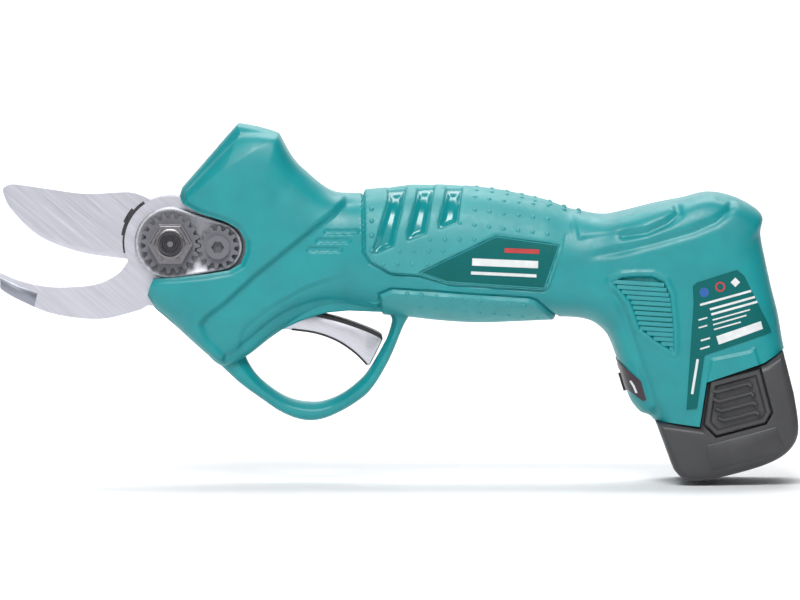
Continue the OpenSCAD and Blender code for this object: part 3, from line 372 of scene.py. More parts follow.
def loft(stations, grow, cols):
    """Points of the far half, even along each section, from the bottom seam to the top seam."""
    theta = np.linspace(0, math.pi, 721)
    top, low = stations[:, 0:2], stations[:, 2:4]
    span = top - low
    height = np.linalg.norm(span, axis=1)
    along = span / height[:, None]
    mid = (top + low) / 2
    half, width, n = height / 2 + grow, stations[:, 4] + grow, stations[:, 5:6]
    c, s = -np.cos(theta)[None], np.sin(theta)[None]
    r = (np.abs(c) ** n + np.abs(s) ** n) ** (-1 / n)
    u, v = r * c * half[:, None], r * s * width[:, None]
    arc = np.cumsum(np.hypot(np.diff(u, axis=1), np.diff(v, axis=1)), axis=1)
    out = np.zeros((len(stations), cols, 3))
    for i in range(len(stations)):
        reach = np.concatenate([[0], arc[i]])
        t = np.linspace(0, reach[-1], cols)
        uu = np.interp(t, reach, u[i])
        out[i, :, 0] = mid[i, 0] + along[i, 0] * uu
        out[i, :, 1] = np.interp(t, reach, v[i])
        out[i, :, 2] = mid[i, 1] + along[i, 1] * uu
    out[:, [0, -1], 1] = 0
    return out


def even_stations(count):
    """Station positions with even spacing along the longer of the top and bottom lines."""
    s = np.linspace(0, len(STATIONS) - 1, 3000)
    p = station_at(s)
    move = np.maximum(np.linalg.norm(np.diff(p[:, 0:2], axis=0), axis=1),
                      np.linalg.norm(np.diff(p[:, 2:4], axis=0), axis=1))
    arc = np.concatenate([[0], np.cumsum(move)])
    return np.interp(np.linspace(0, arc[-1], count), arc, s)


def grid_normals(grid):
    along = np.gradient(grid, axis=0)
    across = np.gradient(grid, axis=1)
    n = np.cross(across, along)
    n /= np.maximum(np.linalg.norm(n, axis=2), 1e-9)[:, :, None]
    n[:, [0, -1], 1] = 0
    return n / np.maximum(np.linalg.norm(n, axis=2), 1e-9)[:, :, None]


ROWS, COLS = ((520, 176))
SKIN = loft(station_at(even_stations(ROWS)), 0, COLS)
SKIN_N = grid_normals(SKIN)
if SKIN_N[ROWS // 2, COLS // 2, 1] < 0:
    SKIN_N = -SKIN_N


def relief(x, y, z):
    """Height of the moulded detail above the plain loft.

    Shaped areas fade out where the skin turns to the seam.
    """
    facing = smoothstep((np.abs(SKIN_N[..., 1]) - 0.08) / 0.45)
    d = -BULGE_DROP * smoothstep(area_distance(x, z, BULGE) / 2.8) * (1 - smoothstep((x - 54) / 24))
    d -= np.clip(-0.3 * area_distance(x, z, THROAT), 0, THROAT_DROP) * (1 - smoothstep((x - 50) / 22))
    d -= NOTCH_DROP * (1 - smoothstep(area_distance(x, z, NOTCH) / 2.2))
    d += CREST_RISE * smoothstep(-area_distance(x, z, CREST) / 2.0)
    for line in TAIL_CREASES:
        d -= CREASE_DROP * np.exp(-(line_distance(x, z, line) / 1.5) ** 2) * smoothstep((x - 147) / 14)
    d += LIP_RISE * smoothstep(-area_distance(x, z, LIP) / 0.9)
    d *= facing
    d -= np.clip(-0.26 * area_distance(x, z, TOP_FACET), 0, FACET_DROP) * smoothstep(np.abs(SKIN_N[...,
                                                                                                   1]) / 0.3)
    for line in GROOVES:
        d -= GROOVE_DROP * (1 - smoothstep((line_distance(x, z, line) - 0.55) / 0.7))
    for outline in (PAD, PAD_LOW):
        groove = PAD_GROOVE * (1 - smoothstep((line_distance(x, z, outline, True) - 0.25) / 0.6))
        d -= groove * (1 - smoothstep((x - 133) / 4) * smoothstep((z + 18.5) / 2))
    for outline in WINDOWS:
        d -= WINDOW_DROP * smoothstep(-area_distance(x, z, outline) / 2.0)
    edge = area_distance(x, z, LOUVRE)
    d -= LOUVRE_DROP * smoothstep(-edge / 0.8)
    d += LOUVRE_RIM * np.exp(-((edge - 1.0) / 0.9) ** 2)
    return d - SEAM_GROOVE * np.exp(-(y / 0.3) ** 2)


def raised(height):
    """The skin with its relief, moved out by height."""
    x, y, z = SKIN[..., 0], SKIN[..., 1], SKIN[..., 2]
    lift = relief(x, y, z) + height
    out = SKIN + SKIN_N * np.asarray(lift)[..., None]
    out[:, [0, -1], 1] = 0
    out[..., 1] = np.maximum(out[..., 1], 0)
    return out


def grid_faces(rows, cols, offset=0, out=True):
    faces = []
    for i in range(rows - 1):
        for j in range(cols - 1):
            a = offset + i * cols + j
            face = (a, a + cols, a + cols + 1, a + 1)
            faces.append(face if out else face[::-1])
    return faces


def half_solid(name, grid):
    """Closed solid between a half skin and the parting plane."""
    rows, cols = grid.shape[:2]
    faces = grid_faces(rows, cols)
    for i in range(rows - 1):
        a, b = i * cols, (i + 1) * cols
        faces.append((a, a + cols - 1, b + cols - 1, b))
    faces.append(tuple(range(cols)))
    faces.append(tuple((rows - 1) * cols + j for j in reversed(range(cols))))
    return outward(new_object(name, grid.reshape(-1, 3), faces))


def sheet_solid(name, high, low):
    """Closed solid between two grids of equal size."""
    rows, cols = high.shape[:2]
    layer = rows * cols
    faces = grid_faces(rows, cols) + grid_faces(rows, cols, layer, False)
    rim = [j for j in range(cols)] + [i * cols + cols - 1 for i in range(1, rows)]
    rim += [(rows - 1) * cols + j for j in reversed(range(cols - 1))]
    rim += [i * cols for i in reversed(range(1, rows - 1))]
    for a, b in zip(rim, rim[1:] + rim[:1]):
        faces.append((a, b, b + layer, a + layer))
    return outward(new_object(name, np.vstack([high.reshape(-1, 3), low.reshape(-1, 3)]), faces))


def outward(obj):
    """Turns the faces of a closed solid outwards."""
    mesh = obj.data
    mesh.calc_loop_triangles()
    co = np.array([v.co for v in mesh.vertices])
    tri = np.array([t.vertices for t in mesh.loop_triangles])
    volume = np.einsum("ij,ij->i", co[tri[:, 0]], np.cross(co[tri[:, 1]], co[tri[:, 2]])).sum()
    if volume < 0:
        mesh.flip_normals()
    return obj


def surface_at(x, z, height):
    """Point and outward normal of the far half at a place in the side view."""
    k = np.argmin((SKIN[..., 0] - x) ** 2 + (SKIN[..., 2] - z) ** 2)
    i, j = np.unravel_index(k, SKIN.shape[:2])
    p, n = SKIN[i, j].copy(), SKIN_N[i, j]
    slide = np.array([x - p[0], 0, z - p[2]])
    if n[1] > 0.2:
        p += np.array([slide[0], -(slide @ n) / n[1], slide[2]])
    return p + n * height, n


def overlay(name, outline, height, holes, x_range, base=-0.6):
    """A piece on the far half of the skin, inside an outline in the side view."""
    inner = (SKIN[..., 0] > x_range[0]) & (SKIN[..., 0] < x_range[1])
    rows = np.where(inner.any(axis=1))[0]
    high = raised(height)[rows[0]:rows[-1] + 1]
    low = raised(base)[rows[0]:rows[-1] + 1]
    obj = sheet_solid(name, high, low)
    combine(obj, "INTERSECT", [prism(outline, -1, CLEAR_Y)])
    if holes:
        combine(obj, "DIFFERENCE", [prism(hole, -2, CLEAR_Y + 1) for hole in holes])
    return obj


def domes(name, places, r, height):
    """One mesh of small round bumps. Places are (point, normal)."""
    sides = 10
    verts, faces = [], []
    for p, n in places:
        side = np.cross(n, (0, 0, 1.0)) if abs(n[2]) < 0.9 else np.cross(n, (1.0, 0, 0))
        side /= np.linalg.norm(side)
        up = np.cross(n, side)
        start = len(verts)
        for lift, size in ((-0.3, 1.0), (0.35, 0.95), (0.8, 0.62)):
            for k in range(sides):
                a = 2 * math.pi * k / sides
                verts.append(p + n * height * lift + r * size * (side * math.cos(a) + up * math.sin(a)))
        verts.append(p + n * height)
        for ring in range(2):
            for k in range(sides):
                a, b = start + ring * sides + k, start + ring * sides + (k + 1) % sides
                faces.append((a, b, b + sides, a + sides))
        for k in range(sides):
            faces.append((start + 2 * sides + k, start + 2 * sides + (k + 1) % sides, start + 3 * sides))
        faces.append(tuple(start + k for k in reversed(range(sides))))
    return outward(new_object(name, verts, faces))


# --- Materials ---
def srgb(r, g, b):
    return tuple(((c / 255) / 12.92 if c <= 10 else ((c / 255 + 0.055) / 1.055) ** 2.4) for c in (r, g,
                                                                                                  b)) + (1.0,)


class Nodes:
    """Shorthand for building a node tree."""

    def __init__(self, name):
        self.material = bpy.data.materials.new(name)
        self.material.use_nodes = True
        self.tree = self.material.node_tree
        self.shader = self.tree.nodes["Principled BSDF"]
        self.place = self.add("ShaderNodeTexCoord").outputs["Object"]

    def add(self, kind, **values):
        node = self.tree.nodes.new(kind)
        for key, value in values.items():
            setattr(node, key, value)
        return node

    def link(self, a, b):
        self.tree.links.new(a, b)

    def set(self, **values):
        for key, value in values.items():
            self.shader.inputs[key.replace("_", " ")].default_value = value

    def noise(self, scale, detail=3, stretch=None, turn=0):
        node = self.add("ShaderNodeTexNoise")
        node.inputs["Scale"].default_value = scale
        node.inputs["Detail"].default_value = detail
        source = self.place
        if stretch:
            for key, value in (("Rotation", (0, turn, 0)), ("Scale", stretch)):
                mapping = self.add("ShaderNodeMapping")
                mapping.inputs[key].default_value = value
                self.link(source, mapping.inputs["Vector"])
                source = mapping.outputs["Vector"]
        self.link(source, node.inputs["Vector"])
        return node.outputs["Fac"]

    def span(self, value, low, high):
        """Maps a noise value, mostly 0.3 to 0.7, to a range."""
        node = self.add("ShaderNodeMapRange")
        for key, v in (("From Min", 0.3), ("From Max", 0.7), ("To Min", low), ("To Max", high)):
            node.inputs[key].default_value = v
        self.link(value, node.inputs["Value"])
        return node.outputs["Result"]

    def bump(self, value, strength, distance):
        node = self.add("ShaderNodeBump")
        node.inputs["Strength"].default_value = strength
        node.inputs["Distance"].default_value = distance
        self.link(value, node.inputs["Height"])
        if self.shader.inputs["Normal"].links:
            self.link(self.shader.inputs["Normal"].links[0].from_socket, node.inputs["Normal"])
        self.link(node.outputs["Normal"], self.shader.inputs["Normal"])

    def tint(self, value, low, high):
        node = self.add("ShaderNodeMix", data_type="RGBA")
        node.inputs["A"].default_value = low
        node.inputs["B"].default_value = high
        self.link(self.span(value, 0, 1), node.inputs["Factor"])
        self.link(node.outputs["Result"], self.shader.inputs["Base Color"])


def moulded(name, low, high, rough, grain_scale=2600, grain=0.25, coat=0.0, shine=0.5):
    """Moulded plastic or rubber: fine spark-eroded grain and slow colour drift."""
    m = Nodes(name)
    m.tint(m.noise(90, 4), low, high)
    m.link(m.span(m.noise(420, 5), rough - 0.05, rough + 0.06), m.shader.inputs["Roughness"])
    m.bump(m.noise(grain_scale, 2), grain, 0.00008)
    m.bump(m.noise(38, 2), 0.12, 0.0003)
    m.set(Coat_Weight=coat, Coat_Roughness=0.12, Specular_IOR_Level=shine)
    return m.material


def metal(name, colour, rough, brush=None, turn=0.0, grain=0.15, grain_scale=900, shade=0.84):
    """Metal: brushed along a direction, or cast and machined with fine grain."""
    m = Nodes(name)
    m.set(Metallic=1.0)
    dark = tuple(c * shade for c in colour[:3]) + (1.0,)
    scratches = m.noise(1, 4, brush, turn) if brush else m.noise(grain_scale, 4)
    m.tint(scratches, dark, colour)
    m.link(m.span(scratches, rough - 0.06, rough + 0.09), m.shader.inputs["Roughness"])
    m.bump(scratches, grain, 0.00006)
    return m.material


def plain(name, colour, rough):
    """Ink, lens and small inner parts: one colour with a fine grain and slight wear."""
    m = Nodes(name)
    m.tint(m.noise(260, 4), tuple(c * 0.82 for c in colour[:3]) + (1.0,), colour)
    m.link(m.span(m.noise(700, 3), rough - 0.06, rough + 0.06), m.shader.inputs["Roughness"])
    m.bump(m.noise(1500, 2), 0.12, 0.00005)
    return m.material


TEAL = moulded("teal_moulding", srgb(0, 132, 137), srgb(0, 143, 147), 0.42, grain=0.3, shine=0.62)
RUBBER = moulded("teal_rubber", srgb(12, 138, 142), srgb(20, 148, 151), 0.54, 1900, 0.35, shine=0.95)
GLOSS_TEAL = moulded("teal_gloss", srgb(0, 128, 132), srgb(4, 136, 139), 0.2, 2600, 0.05, 0.3)
DECAL = moulded("label_green", srgb(0, 92, 92), srgb(0, 98, 97), 0.5, 3200, 0.06, shine=0.2)
PACK = moulded("pack_grey", srgb(58, 58, 60), srgb(66, 66, 68), 0.42, 2400, 0.3)
GLOSS = moulded("panel_gloss", srgb(62, 54, 60), srgb(72, 62, 68), 0.4, 3000, 0.05, shine=0.25)
BLACK = moulded("black_plastic", srgb(26, 26, 28), srgb(34, 34, 36), 0.45)
WHITE_INK = plain("white_ink", srgb(226, 230, 230), 0.4)
BLUE_INK = plain("blue_ink", srgb(40, 96, 170), 0.4)
RED_INK = plain("red_ink", srgb(190, 60, 60), 0.4)
BLADE = metal("blade_steel", srgb(212, 212, 221), 0.38, (1700, 1700, 45), math.radians(50), 0.2, shade=0.86)
GROUND = metal("ground_steel", srgb(158, 161, 172), 0.34, (2600, 2600, 90), math.radians(60), 0.2)
CAST = metal("cast_alloy", srgb(206, 206, 212), 0.56, None, 0, 0.5, 1500, shade=0.66)
GUNMETAL = metal("gunmetal", srgb(88, 86, 90), 0.34, None, 0, 0.35, 1300, shade=0.6)
WORN = metal("worn_steel", srgb(142, 139, 142), 0.34, None, 0, 0.3, 1200, shade=0.66)
TRIGGER_FACE = metal("trigger_metal", srgb(214, 214, 222), 0.34, (90, 3000, 3000), math.radians(-25), 0.08)
BY_SLOT = {
    "teal_plastic": TEAL, "dark_teal_rubber": RUBBER, "decal_green": DECAL, "blade_steel": BLADE,
    "cast_alloy": CAST, "gunmetal": GUNMETAL, "pack_plastic": PACK, "black_gloss": GLOSS,
    "black_plastic": BLACK, "trigger_metal": TRIGGER_FACE,
    "gear_steel": metal("gear_steel", srgb(150, 152, 158), 0.35),
    "bright_steel": metal("bright_steel", srgb(200, 202, 206), 0.26),
    "bronze": metal("bronze", srgb(176, 132, 84), 0.38),
    "copper": metal("copper", srgb(196, 112, 72), 0.35),
    "board_green": plain("board_green", srgb(20, 84, 50), 0.45),
    "wire_red": plain("wire_red", srgb(160, 26, 26), 0.45),
    "cell_wrap": plain("cell_wrap", srgb(40, 110, 130), 0.3),
    "lens_clear": plain("lens_clear", srgb(190, 225, 195), 0.1)}

for row in frame["record"]["materials"]:
    for node in row.get("nodes", []):
        for place in frame["nodes"][node].material_slots:
            place.material = BY_SLOT[row["slot"]]

# --- Housing: solid halves, hollowed, with the trigger guard, screw bosses and cut-outs ---
inside = loft(station_at(even_stations(110)), -WALL, 41)
inside[:, [0, -1], 1] = -1
inside = np.concatenate([[inside[0] * 2 - inside[1]], inside, [inside[-1] * 2 - inside[-2]]])
hollow = half_solid("tool", inside)

guard_steps = 110
outer, inner = resample(curved(GUARD_OUTER), guard_steps), resample(curved(GUARD_INNER), guard_steps)
# Section across the loop: (share of the way from the outer edge to the inner one, y)
guard_section = [(0, 0), (0, 4.6), (0.03, 5.8), (0.1, 6.8), (0.21, 7.35), (0.34, GUARD_HALF),
                 (0.58, GUARD_HALF), (0.66, 7.2), (0.93, 4.9), (1, 4.2), (1, 0)]
guard_grid = np.array([[[*(outer[i] * (1 - q) + inner[i] * q), y] for q, y in guard_section]
                       for i in range(guard_steps)])[..., [0, 2, 1]]
guard = outward(rings_solid("tool", guard_grid))

shell = half_solid("housing_far", raised(0))
combine(shell, "DIFFERENCE", [hollow])
combine(shell, "UNION", [guard])
# Screw bosses: each (x, z, face y)
BOSS_R, HOLE_R, HOLE_DEEP = 3, 2.6, 3.5
BOSSES = [(34, 33, 16), (23, -36.5, 10.5), (73.2, -18.9, 12.5), (131.4, 2, 14.5), (148.4, -20.3, 14.3),
          (205.4, 6, 18)]
combine(shell, "UNION", [rod(BOSS_R, 0, y, (x, z)) for x, z, y in BOSSES])
pack_cut = in_pack(SKIRT + [(60, 37.9), (60, -120), (-60, -120), (-60, 25.3)])
cheek = CHEEK_EDGE + [(76, -16), (30, -16)]
cheek_profile = [(0.5, SLOT_HALF + 2.6), (0, SLOT_HALF + 2), (0, SLOT_HALF - 2)]
combine(shell, "UNION", [slab("tool", cheek, cheek_profile)])
combine(shell, "DIFFERENCE", [prism(NOTCH, NOTCH_FLOOR, CLEAR_Y), prism(TRIGGER_SLOT, -1, SLOT_HALF),
                              prism(pack_cut, -2, CLEAR_Y)])
shell_left = mirrored(shell, "housing_near")
combine(shell_left, "DIFFERENCE", [prism(COUNTER_CUT, -10.3, -6)])
combine(shell, "DIFFERENCE", [rod(HOLE_R, y - HOLE_DEEP, CLEAR_Y, (x, z)) for x, z, y in BOSSES])
dress(shell, TEAL, "tool_body", "teal_plastic", "housing_right")
dress(shell_left, TEAL, "tool_body", "teal_plastic", "housing_left")

# --- Rubber pads, badge, label and window glazes on the skin ---
skin_x, skin_z = SKIN[..., 0], SKIN[..., 2]


def pillow(outline, holes, rise, lip):
    """Height that rounds off towards an outline and towards its windows."""
    edge = area_distance(skin_x, skin_z, outline)
    for hole in holes:
        edge = np.maximum(edge, -area_distance(skin_x, skin_z, hole))
    t = np.clip(-edge / lip, 0, 1)
    return rise * np.sqrt(1 - (1 - t) ** 2)


def both_sides(obj, name, material, slot, *nodes):
    """Dresses a far-side piece and its mirror image, each standing for the nodes of its own side."""
    near = mirrored(obj, name + "_left")
    obj.name = name + "_right"
    near_nodes = [n for n in nodes if not n.endswith("_right")]
    dress(near, material, "tool_body", slot, *near_nodes)
    dress(obj, material, "tool_body", slot, *[n for n in nodes if n.endswith("_right")])


def pad_rise(x):
    """Share of the pad's height left at x: the pad runs out level with the tail."""
    return 1 - smoothstep((x - 133) / 12)


left = pad_rise(skin_x)
pad_lift = pillow(PAD, WINDOWS + [BADGE], PAD_CROWN, PAD_ROUND) * left - 0.1 * (1 - left)
pad = overlay("pad", PAD, pad_lift, WINDOWS + [BADGE], (64, 162))
both_sides(pad, "grip_pad_upper", RUBBER, "dark_teal_rubber", "grip_upper_left", "grip_upper_right")
pad = overlay("pad", PAD_LOW, pillow(PAD_LOW, [], PAD_CROWN, PAD_ROUND), (), (70, 145))
both_sides(pad, "grip_pad_lower", RUBBER, "dark_teal_rubber", "grip_lower_left", "grip_lower_right")
BADGE_SPAN, LABEL_SPAN = (84, 145), (178, 222)
badge = overlay("badge", inset(BADGE, 0.35), 0.35, (), BADGE_SPAN)
both_sides(badge, "side_badge", DECAL, "decal_green", "side_badges")
label = overlay("label", LABEL, 0.3, (), LABEL_SPAN)
both_sides(label, "rating_plate", DECAL, "decal_green", "rating_label")
for number, window in enumerate(WINDOWS):
    glaze = overlay("glaze", inset(window, 0.25), 0.12, (), (60, 115))
    both_sides(glaze, f"window_{number + 1}", GLOSS_TEAL, "teal_plastic")


# --- Grip dots ---
arc_len = np.concatenate([np.zeros((ROWS, 1)), np.cumsum(np.linalg.norm(np.diff(SKIN, axis=1), axis=2),
                                                         axis=1)], 1)


def on_arc(x, reach, height):
    """Point and normal at distance reach from the top seam, on the section whose top is at x."""
    i = int(np.argmin(np.abs(SKIN[:, -1, 0] - x)))
    j = int(np.argmin(np.abs(arc_len[i] - (arc_len[i, -1] - reach))))
    return SKIN[i, j] + SKIN_N[i, j] * height, SKIN_N[i, j]


# Rows of dots: each (z at the front, first x, last x)
PITCH = 5.2
DOT_ROWS = [(15.7, 108.9, 139), (11.5, 108.9, 139), (6.4, 103.6, 135), (1.4, 93.1, 109), (-2.6, 82.1, 98),
            (-7.2, 76.2, 93)]
places = [surface_at(72.1, z, PAD_RISE) for z in (12, 8, 3, -2.3)]
for z, x0, x1 in DOT_ROWS:
    drop = 0.0 if x0 < 100 else -0.127
    for k in range(int((x1 - x0) / PITCH) + 1):
        x = x0 + k * PITCH
        fall = drop * (x - 108.9) * (1 if z > 2 else 0.4)
        places.append(surface_at(x, z + fall, PAD_RISE * pad_rise(x)))
for reach in (3.0, 8.0):
    places += [on_arc(x, reach, PAD_RISE * pad_rise(x)) for x in np.arange(110, 148, PITCH)]
places += [surface_at(84.8 + k * PITCH, -17.7 - 0.49 * k, PAD_RISE) for k in range(9)]
places += [surface_at(89.8 + k * PITCH, -22.4 - 0.45 * k, PAD_RISE) for k in range(9)]
dots = domes("dots", [(p, n) for p, n in places if p[1] > 0.8], 0.9, 0.7)
both_sides(dots, "grip_dots", RUBBER, "dark_teal_rubber")

# --- Louvres on the tail ---
# Section of a slat: (z, height above the skin)
SLAT = ((0, -1.6), (0.0, -0.2), (-1.3, 0.0), (-1.55, -0.2), (-1.6, -1.6))
SLAT_PITCH, SLAT_STEPS, SLAT_FALL = 1.85, 14, 0.06
verts, faces = [], []
for k in range(15):
    z_top = -12.6 - SLAT_PITCH * k
    x = np.linspace(150, 185, 700)
    band = x[area_distance(x, np.full(700, z_top - 0.9), LOUVRE) < -0.1]
    if len(band) < 20:
        continue
    x0, x1 = band.min(), band.max()
    faces += ring_faces(SLAT_STEPS, len(SLAT), len(verts))
    for t in np.linspace(0, 1, SLAT_STEPS):
        along = (x1 - x0) * t
        for dz, height in SLAT:
            verts.append(surface_at(x0 + along, z_top + dz - SLAT_FALL * along, height)[0])
both_sides(outward(new_object("louvres", verts, faces)), "louvres", TEAL, "teal_plastic")

# --- Label marks: plain shapes in place of print ---
marks = {
    "label_disc": (disc(1.7, (190.9, -17.1), 28), BLUE_INK),
    "label_diamond": ([(202, -15.2), (203.7, -13.5), (202, -11.8), (200.3, -13.5)], WHITE_INK),
    "label_bar": ([(195.2, -32.8), (211.2, -27.4), (211.9, -30.2), (196.1, -35.8)], WHITE_INK)}
for name, (outline, ink) in marks.items():
    both_sides(overlay("mark", outline, 0.38, (), LABEL_SPAN, 0.1), name, ink, "decal_green")
ring = overlay("mark", disc(1.8, (196.6, -15.1), 28), 0.38, [disc(1.2, (196.6, -15.1), 28)], LABEL_SPAN, 0.1)
both_sides(ring, "label_ring", RED_INK, "decal_green")


# --- Plain bars where the object carries print ---
def bars(name, lines, ink, slot, lift=0.42):
    """Thin bars that follow the skin. Each line is (x0, z0, x1, z1, width)."""
    verts, faces, count = [], [], 16
    for x0, z0, x1, z1, width in lines:
        faces += ring_faces(count, 4, len(verts))
        reach = np.array([z0 - z1, x1 - x0]) / math.hypot(x1 - x0, z1 - z0) * width / 2
        for t in np.linspace(0, 1, count):
            x, z = x0 + (x1 - x0) * t, z0 + (z1 - z0) * t
            for side, height in ((1, 0.1), (1, lift), (-1, lift), (-1, 0.1)):
                verts.append(surface_at(x + side * reach[0], z + side * reach[1], height)[0])
    both_sides(outward(new_object("bars", verts, faces)), name, ink, slot)


bars("label_lines", [(189.4, -21.6, 207.6, -16.6, 0.8), (192.9, -23.2, 208.9, -18.8, 0.8),
                     (193.4, -25, 209.8, -20.5, 0.8), (193.9, -27, 207.2, -23.3, 0.5),
                     (194.1, -28.7, 206, -25.3, 0.5), (194.4, -30.4, 204, -27.7, 0.5),
                     (188.9, -27, 192, -26.1, 0.5), (188.9, -29.8, 192, -28.9, 0.5),
                     (189.7, -34.4, 193, -33.4, 0.6), (189.5, -37.4, 192.8, -36.4, 0.6),
                     (188.6, -41, 186.6, -53.5, 0.9)], WHITE_INK,
     "decal_green")
bars("badge_lines", [(108, -6.4, 131.6, -7.4, 2.6), (107.6, -10.3, 131, -11.4, 1.1)], WHITE_INK,
     "decal_green", 0.5)
bars("badge_number", [(119.6, -2.3, 132, -2.8, 1.6)], RED_INK, "decal_green", 0.5)
bars("panel_mark", [(164.9, -48.9, 166, -50.6, 0.6), (166, -50.6, 167.1, -53.2, 0.6)], WHITE_INK,
     "black_gloss", 0.5)
rim = overlay("rim", inset(BADGE, 0.05), 0.5, [inset(BADGE, 0.5)], BADGE_SPAN)
both_sides(rim, "badge_rim", GLOSS_TEAL, "teal_plastic")

# --- Control panel, one piece round the front of the tail ---
panel = overlay("panel", PANEL, 0.35, (), (150, 178))
mirror_half = mirrored(panel, "tool")
combine(panel, "UNION", [mirror_half])
panel.name = "panel_gloss"
dress(panel, GLOSS, "tool_body", "black_gloss", "control_panel")


# --- Blades ---
PLATE_STEP = 1.6                   # grid spacing of a plate's faces


def plate(name, outline, near, far, creases):
    """Flat part whose two faces are height fields over its XZ outline."""
    edge = np.asarray(outline, float)
    if signed_area(edge) < 0:
        edge = edge[::-1]
    lines = [np.asarray(c, float) for c in creases]
    lo, hi = edge.min(0), edge.max(0)
    gx, gz = np.meshgrid(np.arange(lo[0], hi[0], PLATE_STEP), np.arange(lo[1], hi[1], PLATE_STEP))
    grid = np.stack([gx.ravel(), gz.ravel()], 1)
    clear = area_distance(grid[:, 0], grid[:, 1], edge) < -PLATE_STEP * 0.5
    for line in lines:
        clear &= line_distance(grid[:, 0], grid[:, 1], line) > PLATE_STEP * 0.4
    points = np.vstack([edge] + lines + [grid[clear]])
    n = len(edge)
    wires = [(k, (k + 1) % n) for k in range(n)]
    start = n
    for line in lines:
        wires += [(start + k, start + k + 1) for k in range(len(line) - 1)]
        start += len(line)
    out = delaunay_2d_cdt([Vector(p) for p in points], wires, [], 1, 1e-5)
    co = np.array([list(v) for v in out[0]])
    tris = [tuple(f) for f in out[2]]
    count = len(co)
    top = np.stack([co[:, 0], near(co[:, 0], co[:, 1]), co[:, 1]], 1)
    back = np.stack([co[:, 0], far(co[:, 0], co[:, 1]), co[:, 1]], 1)
    used = {}
    for f in tris:
        for a, b in zip(f, f[1:] + f[:1]):
            used[(a, b)] = used.get((a, b), 0) + 1
    rim = [(a, b) for a, b in used if (b, a) not in used]
    faces = tris + [tuple(count + k for k in reversed(f)) for f in tris]
    faces += [(b, a, a + count, b + count) for a, b in rim]
    return outward(new_object(name, np.vstack([top, back]), faces))


def arc_points(r, a0, a1, count=40):
    a = np.radians(np.linspace(a0, a1, count))
    return np.stack([r * np.cos(a), r * np.sin(a)], 1)


BLADE_NEAR, BLADE_THICK = -6, 3.5
COUNTER_NEAR, COUNTER_FAR = -10.1, -6.1
cut_edge = curved([(-60.5, 18.4), (-58, 12.6), (-50.1, 4.2), (-42.3, -0.3), (-30.6, -4), (-15.6, -6)], 1.2)
blade_top = curved([(-7.4, 15.3), (-15, 17.9), (-30.6, 17.4), (-46.2, 19.4), (-55, 20.7), (-58.2, 20.7),
                    (-60.2, 19.6)], 1.4)
blade_outline = np.vstack([cut_edge, arc_points(17, 201.5, 474)[1:-1], blade_top])


def ground_thickness(x, z, edge, width, full, thin):
    """Thickness that falls off towards a ground edge."""
    return thin + (full - thin) * np.clip(line_distance(x, z, edge) / width, 0, 1)


blade = plate("blade", blade_outline,
              lambda x, z: BLADE_NEAR + 0.25 * (1 - np.clip(line_distance(x, z, cut_edge) / 0.9, 0, 1)),
              lambda x, z: BLADE_NEAR + ground_thickness(x, z, cut_edge, 7.5, BLADE_THICK, 0.45),
              [cut_edge[4:-3] + (0.1, 0.9)])
dress(blade, BLADE, "blade", "blade_steel", "cutting_blade", angle=20)
hook_in = curved([(-61.3, -10.9), (-54, -13.8), (-46.2, -15.6), (-38.4, -16.1), (-26.7, -15), (-18.9, -11.1),
                  (-15.4, -6.6)], 1.2)
hook_out = curved([(7, -26), (-7.2, -22.6), (-11.1, -24.1), (-22.8, -27.1), (-32.6, -27.1), (-44.3, -24.9),
                   (-56, -19.8), (-61.2, -16.6), (-61.5, -14)], 1.4)
lugs = [(14, -17), (21, -27), (20, -34), (12, -34)]
hook_outline = np.vstack([hook_in, arc_points(16.7, 203.5, -50)[1:], lugs, hook_out])
bevel_line = curved([(-58, -13.6), (-48.4, -17.7), (-38.4, -19.2), (-30.6, -18.9), (-22.8, -16.7),
                     (-15.8, -10.1)], 1.2)
hook_ground = np.vstack([hook_in, bevel_line[::-1]])


def counter_near(x, z):
    """The hook's near face, ground down a little between its cutting edge and the bevel line."""
    inside = line_distance(x, z, hook_in)
    beyond = line_distance(x, z, bevel_line)
    ground = (area_distance(x, z, hook_ground) < 0.05) & (x < -15.6)
    return COUNTER_NEAR + np.where(ground, 0.15 * beyond / np.maximum(inside + beyond, 1e-6), 0.0)


hook = plate("hook", hook_outline, counter_near, lambda x, z: np.full(np.shape(x), float(COUNTER_FAR)),
             [bevel_line])
dress(hook, BLADE, "tool_body", "blade_steel", "counter_blade", angle=12)

tip = slab("hook_tip", [(-61.2, -12.6), (-54.5, -15.6), (-47.9, -18.2), (-49.1, -23.1), (-56, -19.7),
                        (-61.1, -16.4)],
           [(0.1, COUNTER_NEAR + 0.3), (0, COUNTER_NEAR), (0.1, COUNTER_NEAR - 0.06)])
dress(outward(tip), GROUND, "tool_body", "blade_steel")


# --- Dark step round the blade's root: the blade's unpolished ring recess, with painted shade for that recess and for the gap by the counter blade's boss ---
root_arcs = [(17.8, 124, 139), (18.7, 139, 157), (18.1, 157, 172), (17.5, 172, 193)]
root = [p for r, a0, a1 in root_arcs for p in arc_points(r, a0, a1, 8)] + list(arc_points(16.2, 193, 124, 30))
# Painted shade: the ring's dark colour stands for the blade's unpolished recess and for the shade in it and
# in the gap by the counter blade's boss.
root_recess_and_shade = slab("blade_root_recess_and_shade", root, [(0, BLADE_NEAR + 0.4), (0, BLADE_NEAR - 0.06),
                                      (0.15, BLADE_NEAR - 0.1)])
dress(outward(root_recess_and_shade), GUNMETAL, "blade", "gunmetal")


# --- Turned details on the bolt end and the nut ---
def turned(name, profile):
    """Solid of revolution about the pivot. Profile rows are (radius, y)."""
    return outward(rings_solid(name, [side_ring(disc(max(r, 0.02), (0, 0), 56), y) for r, y in profile]))


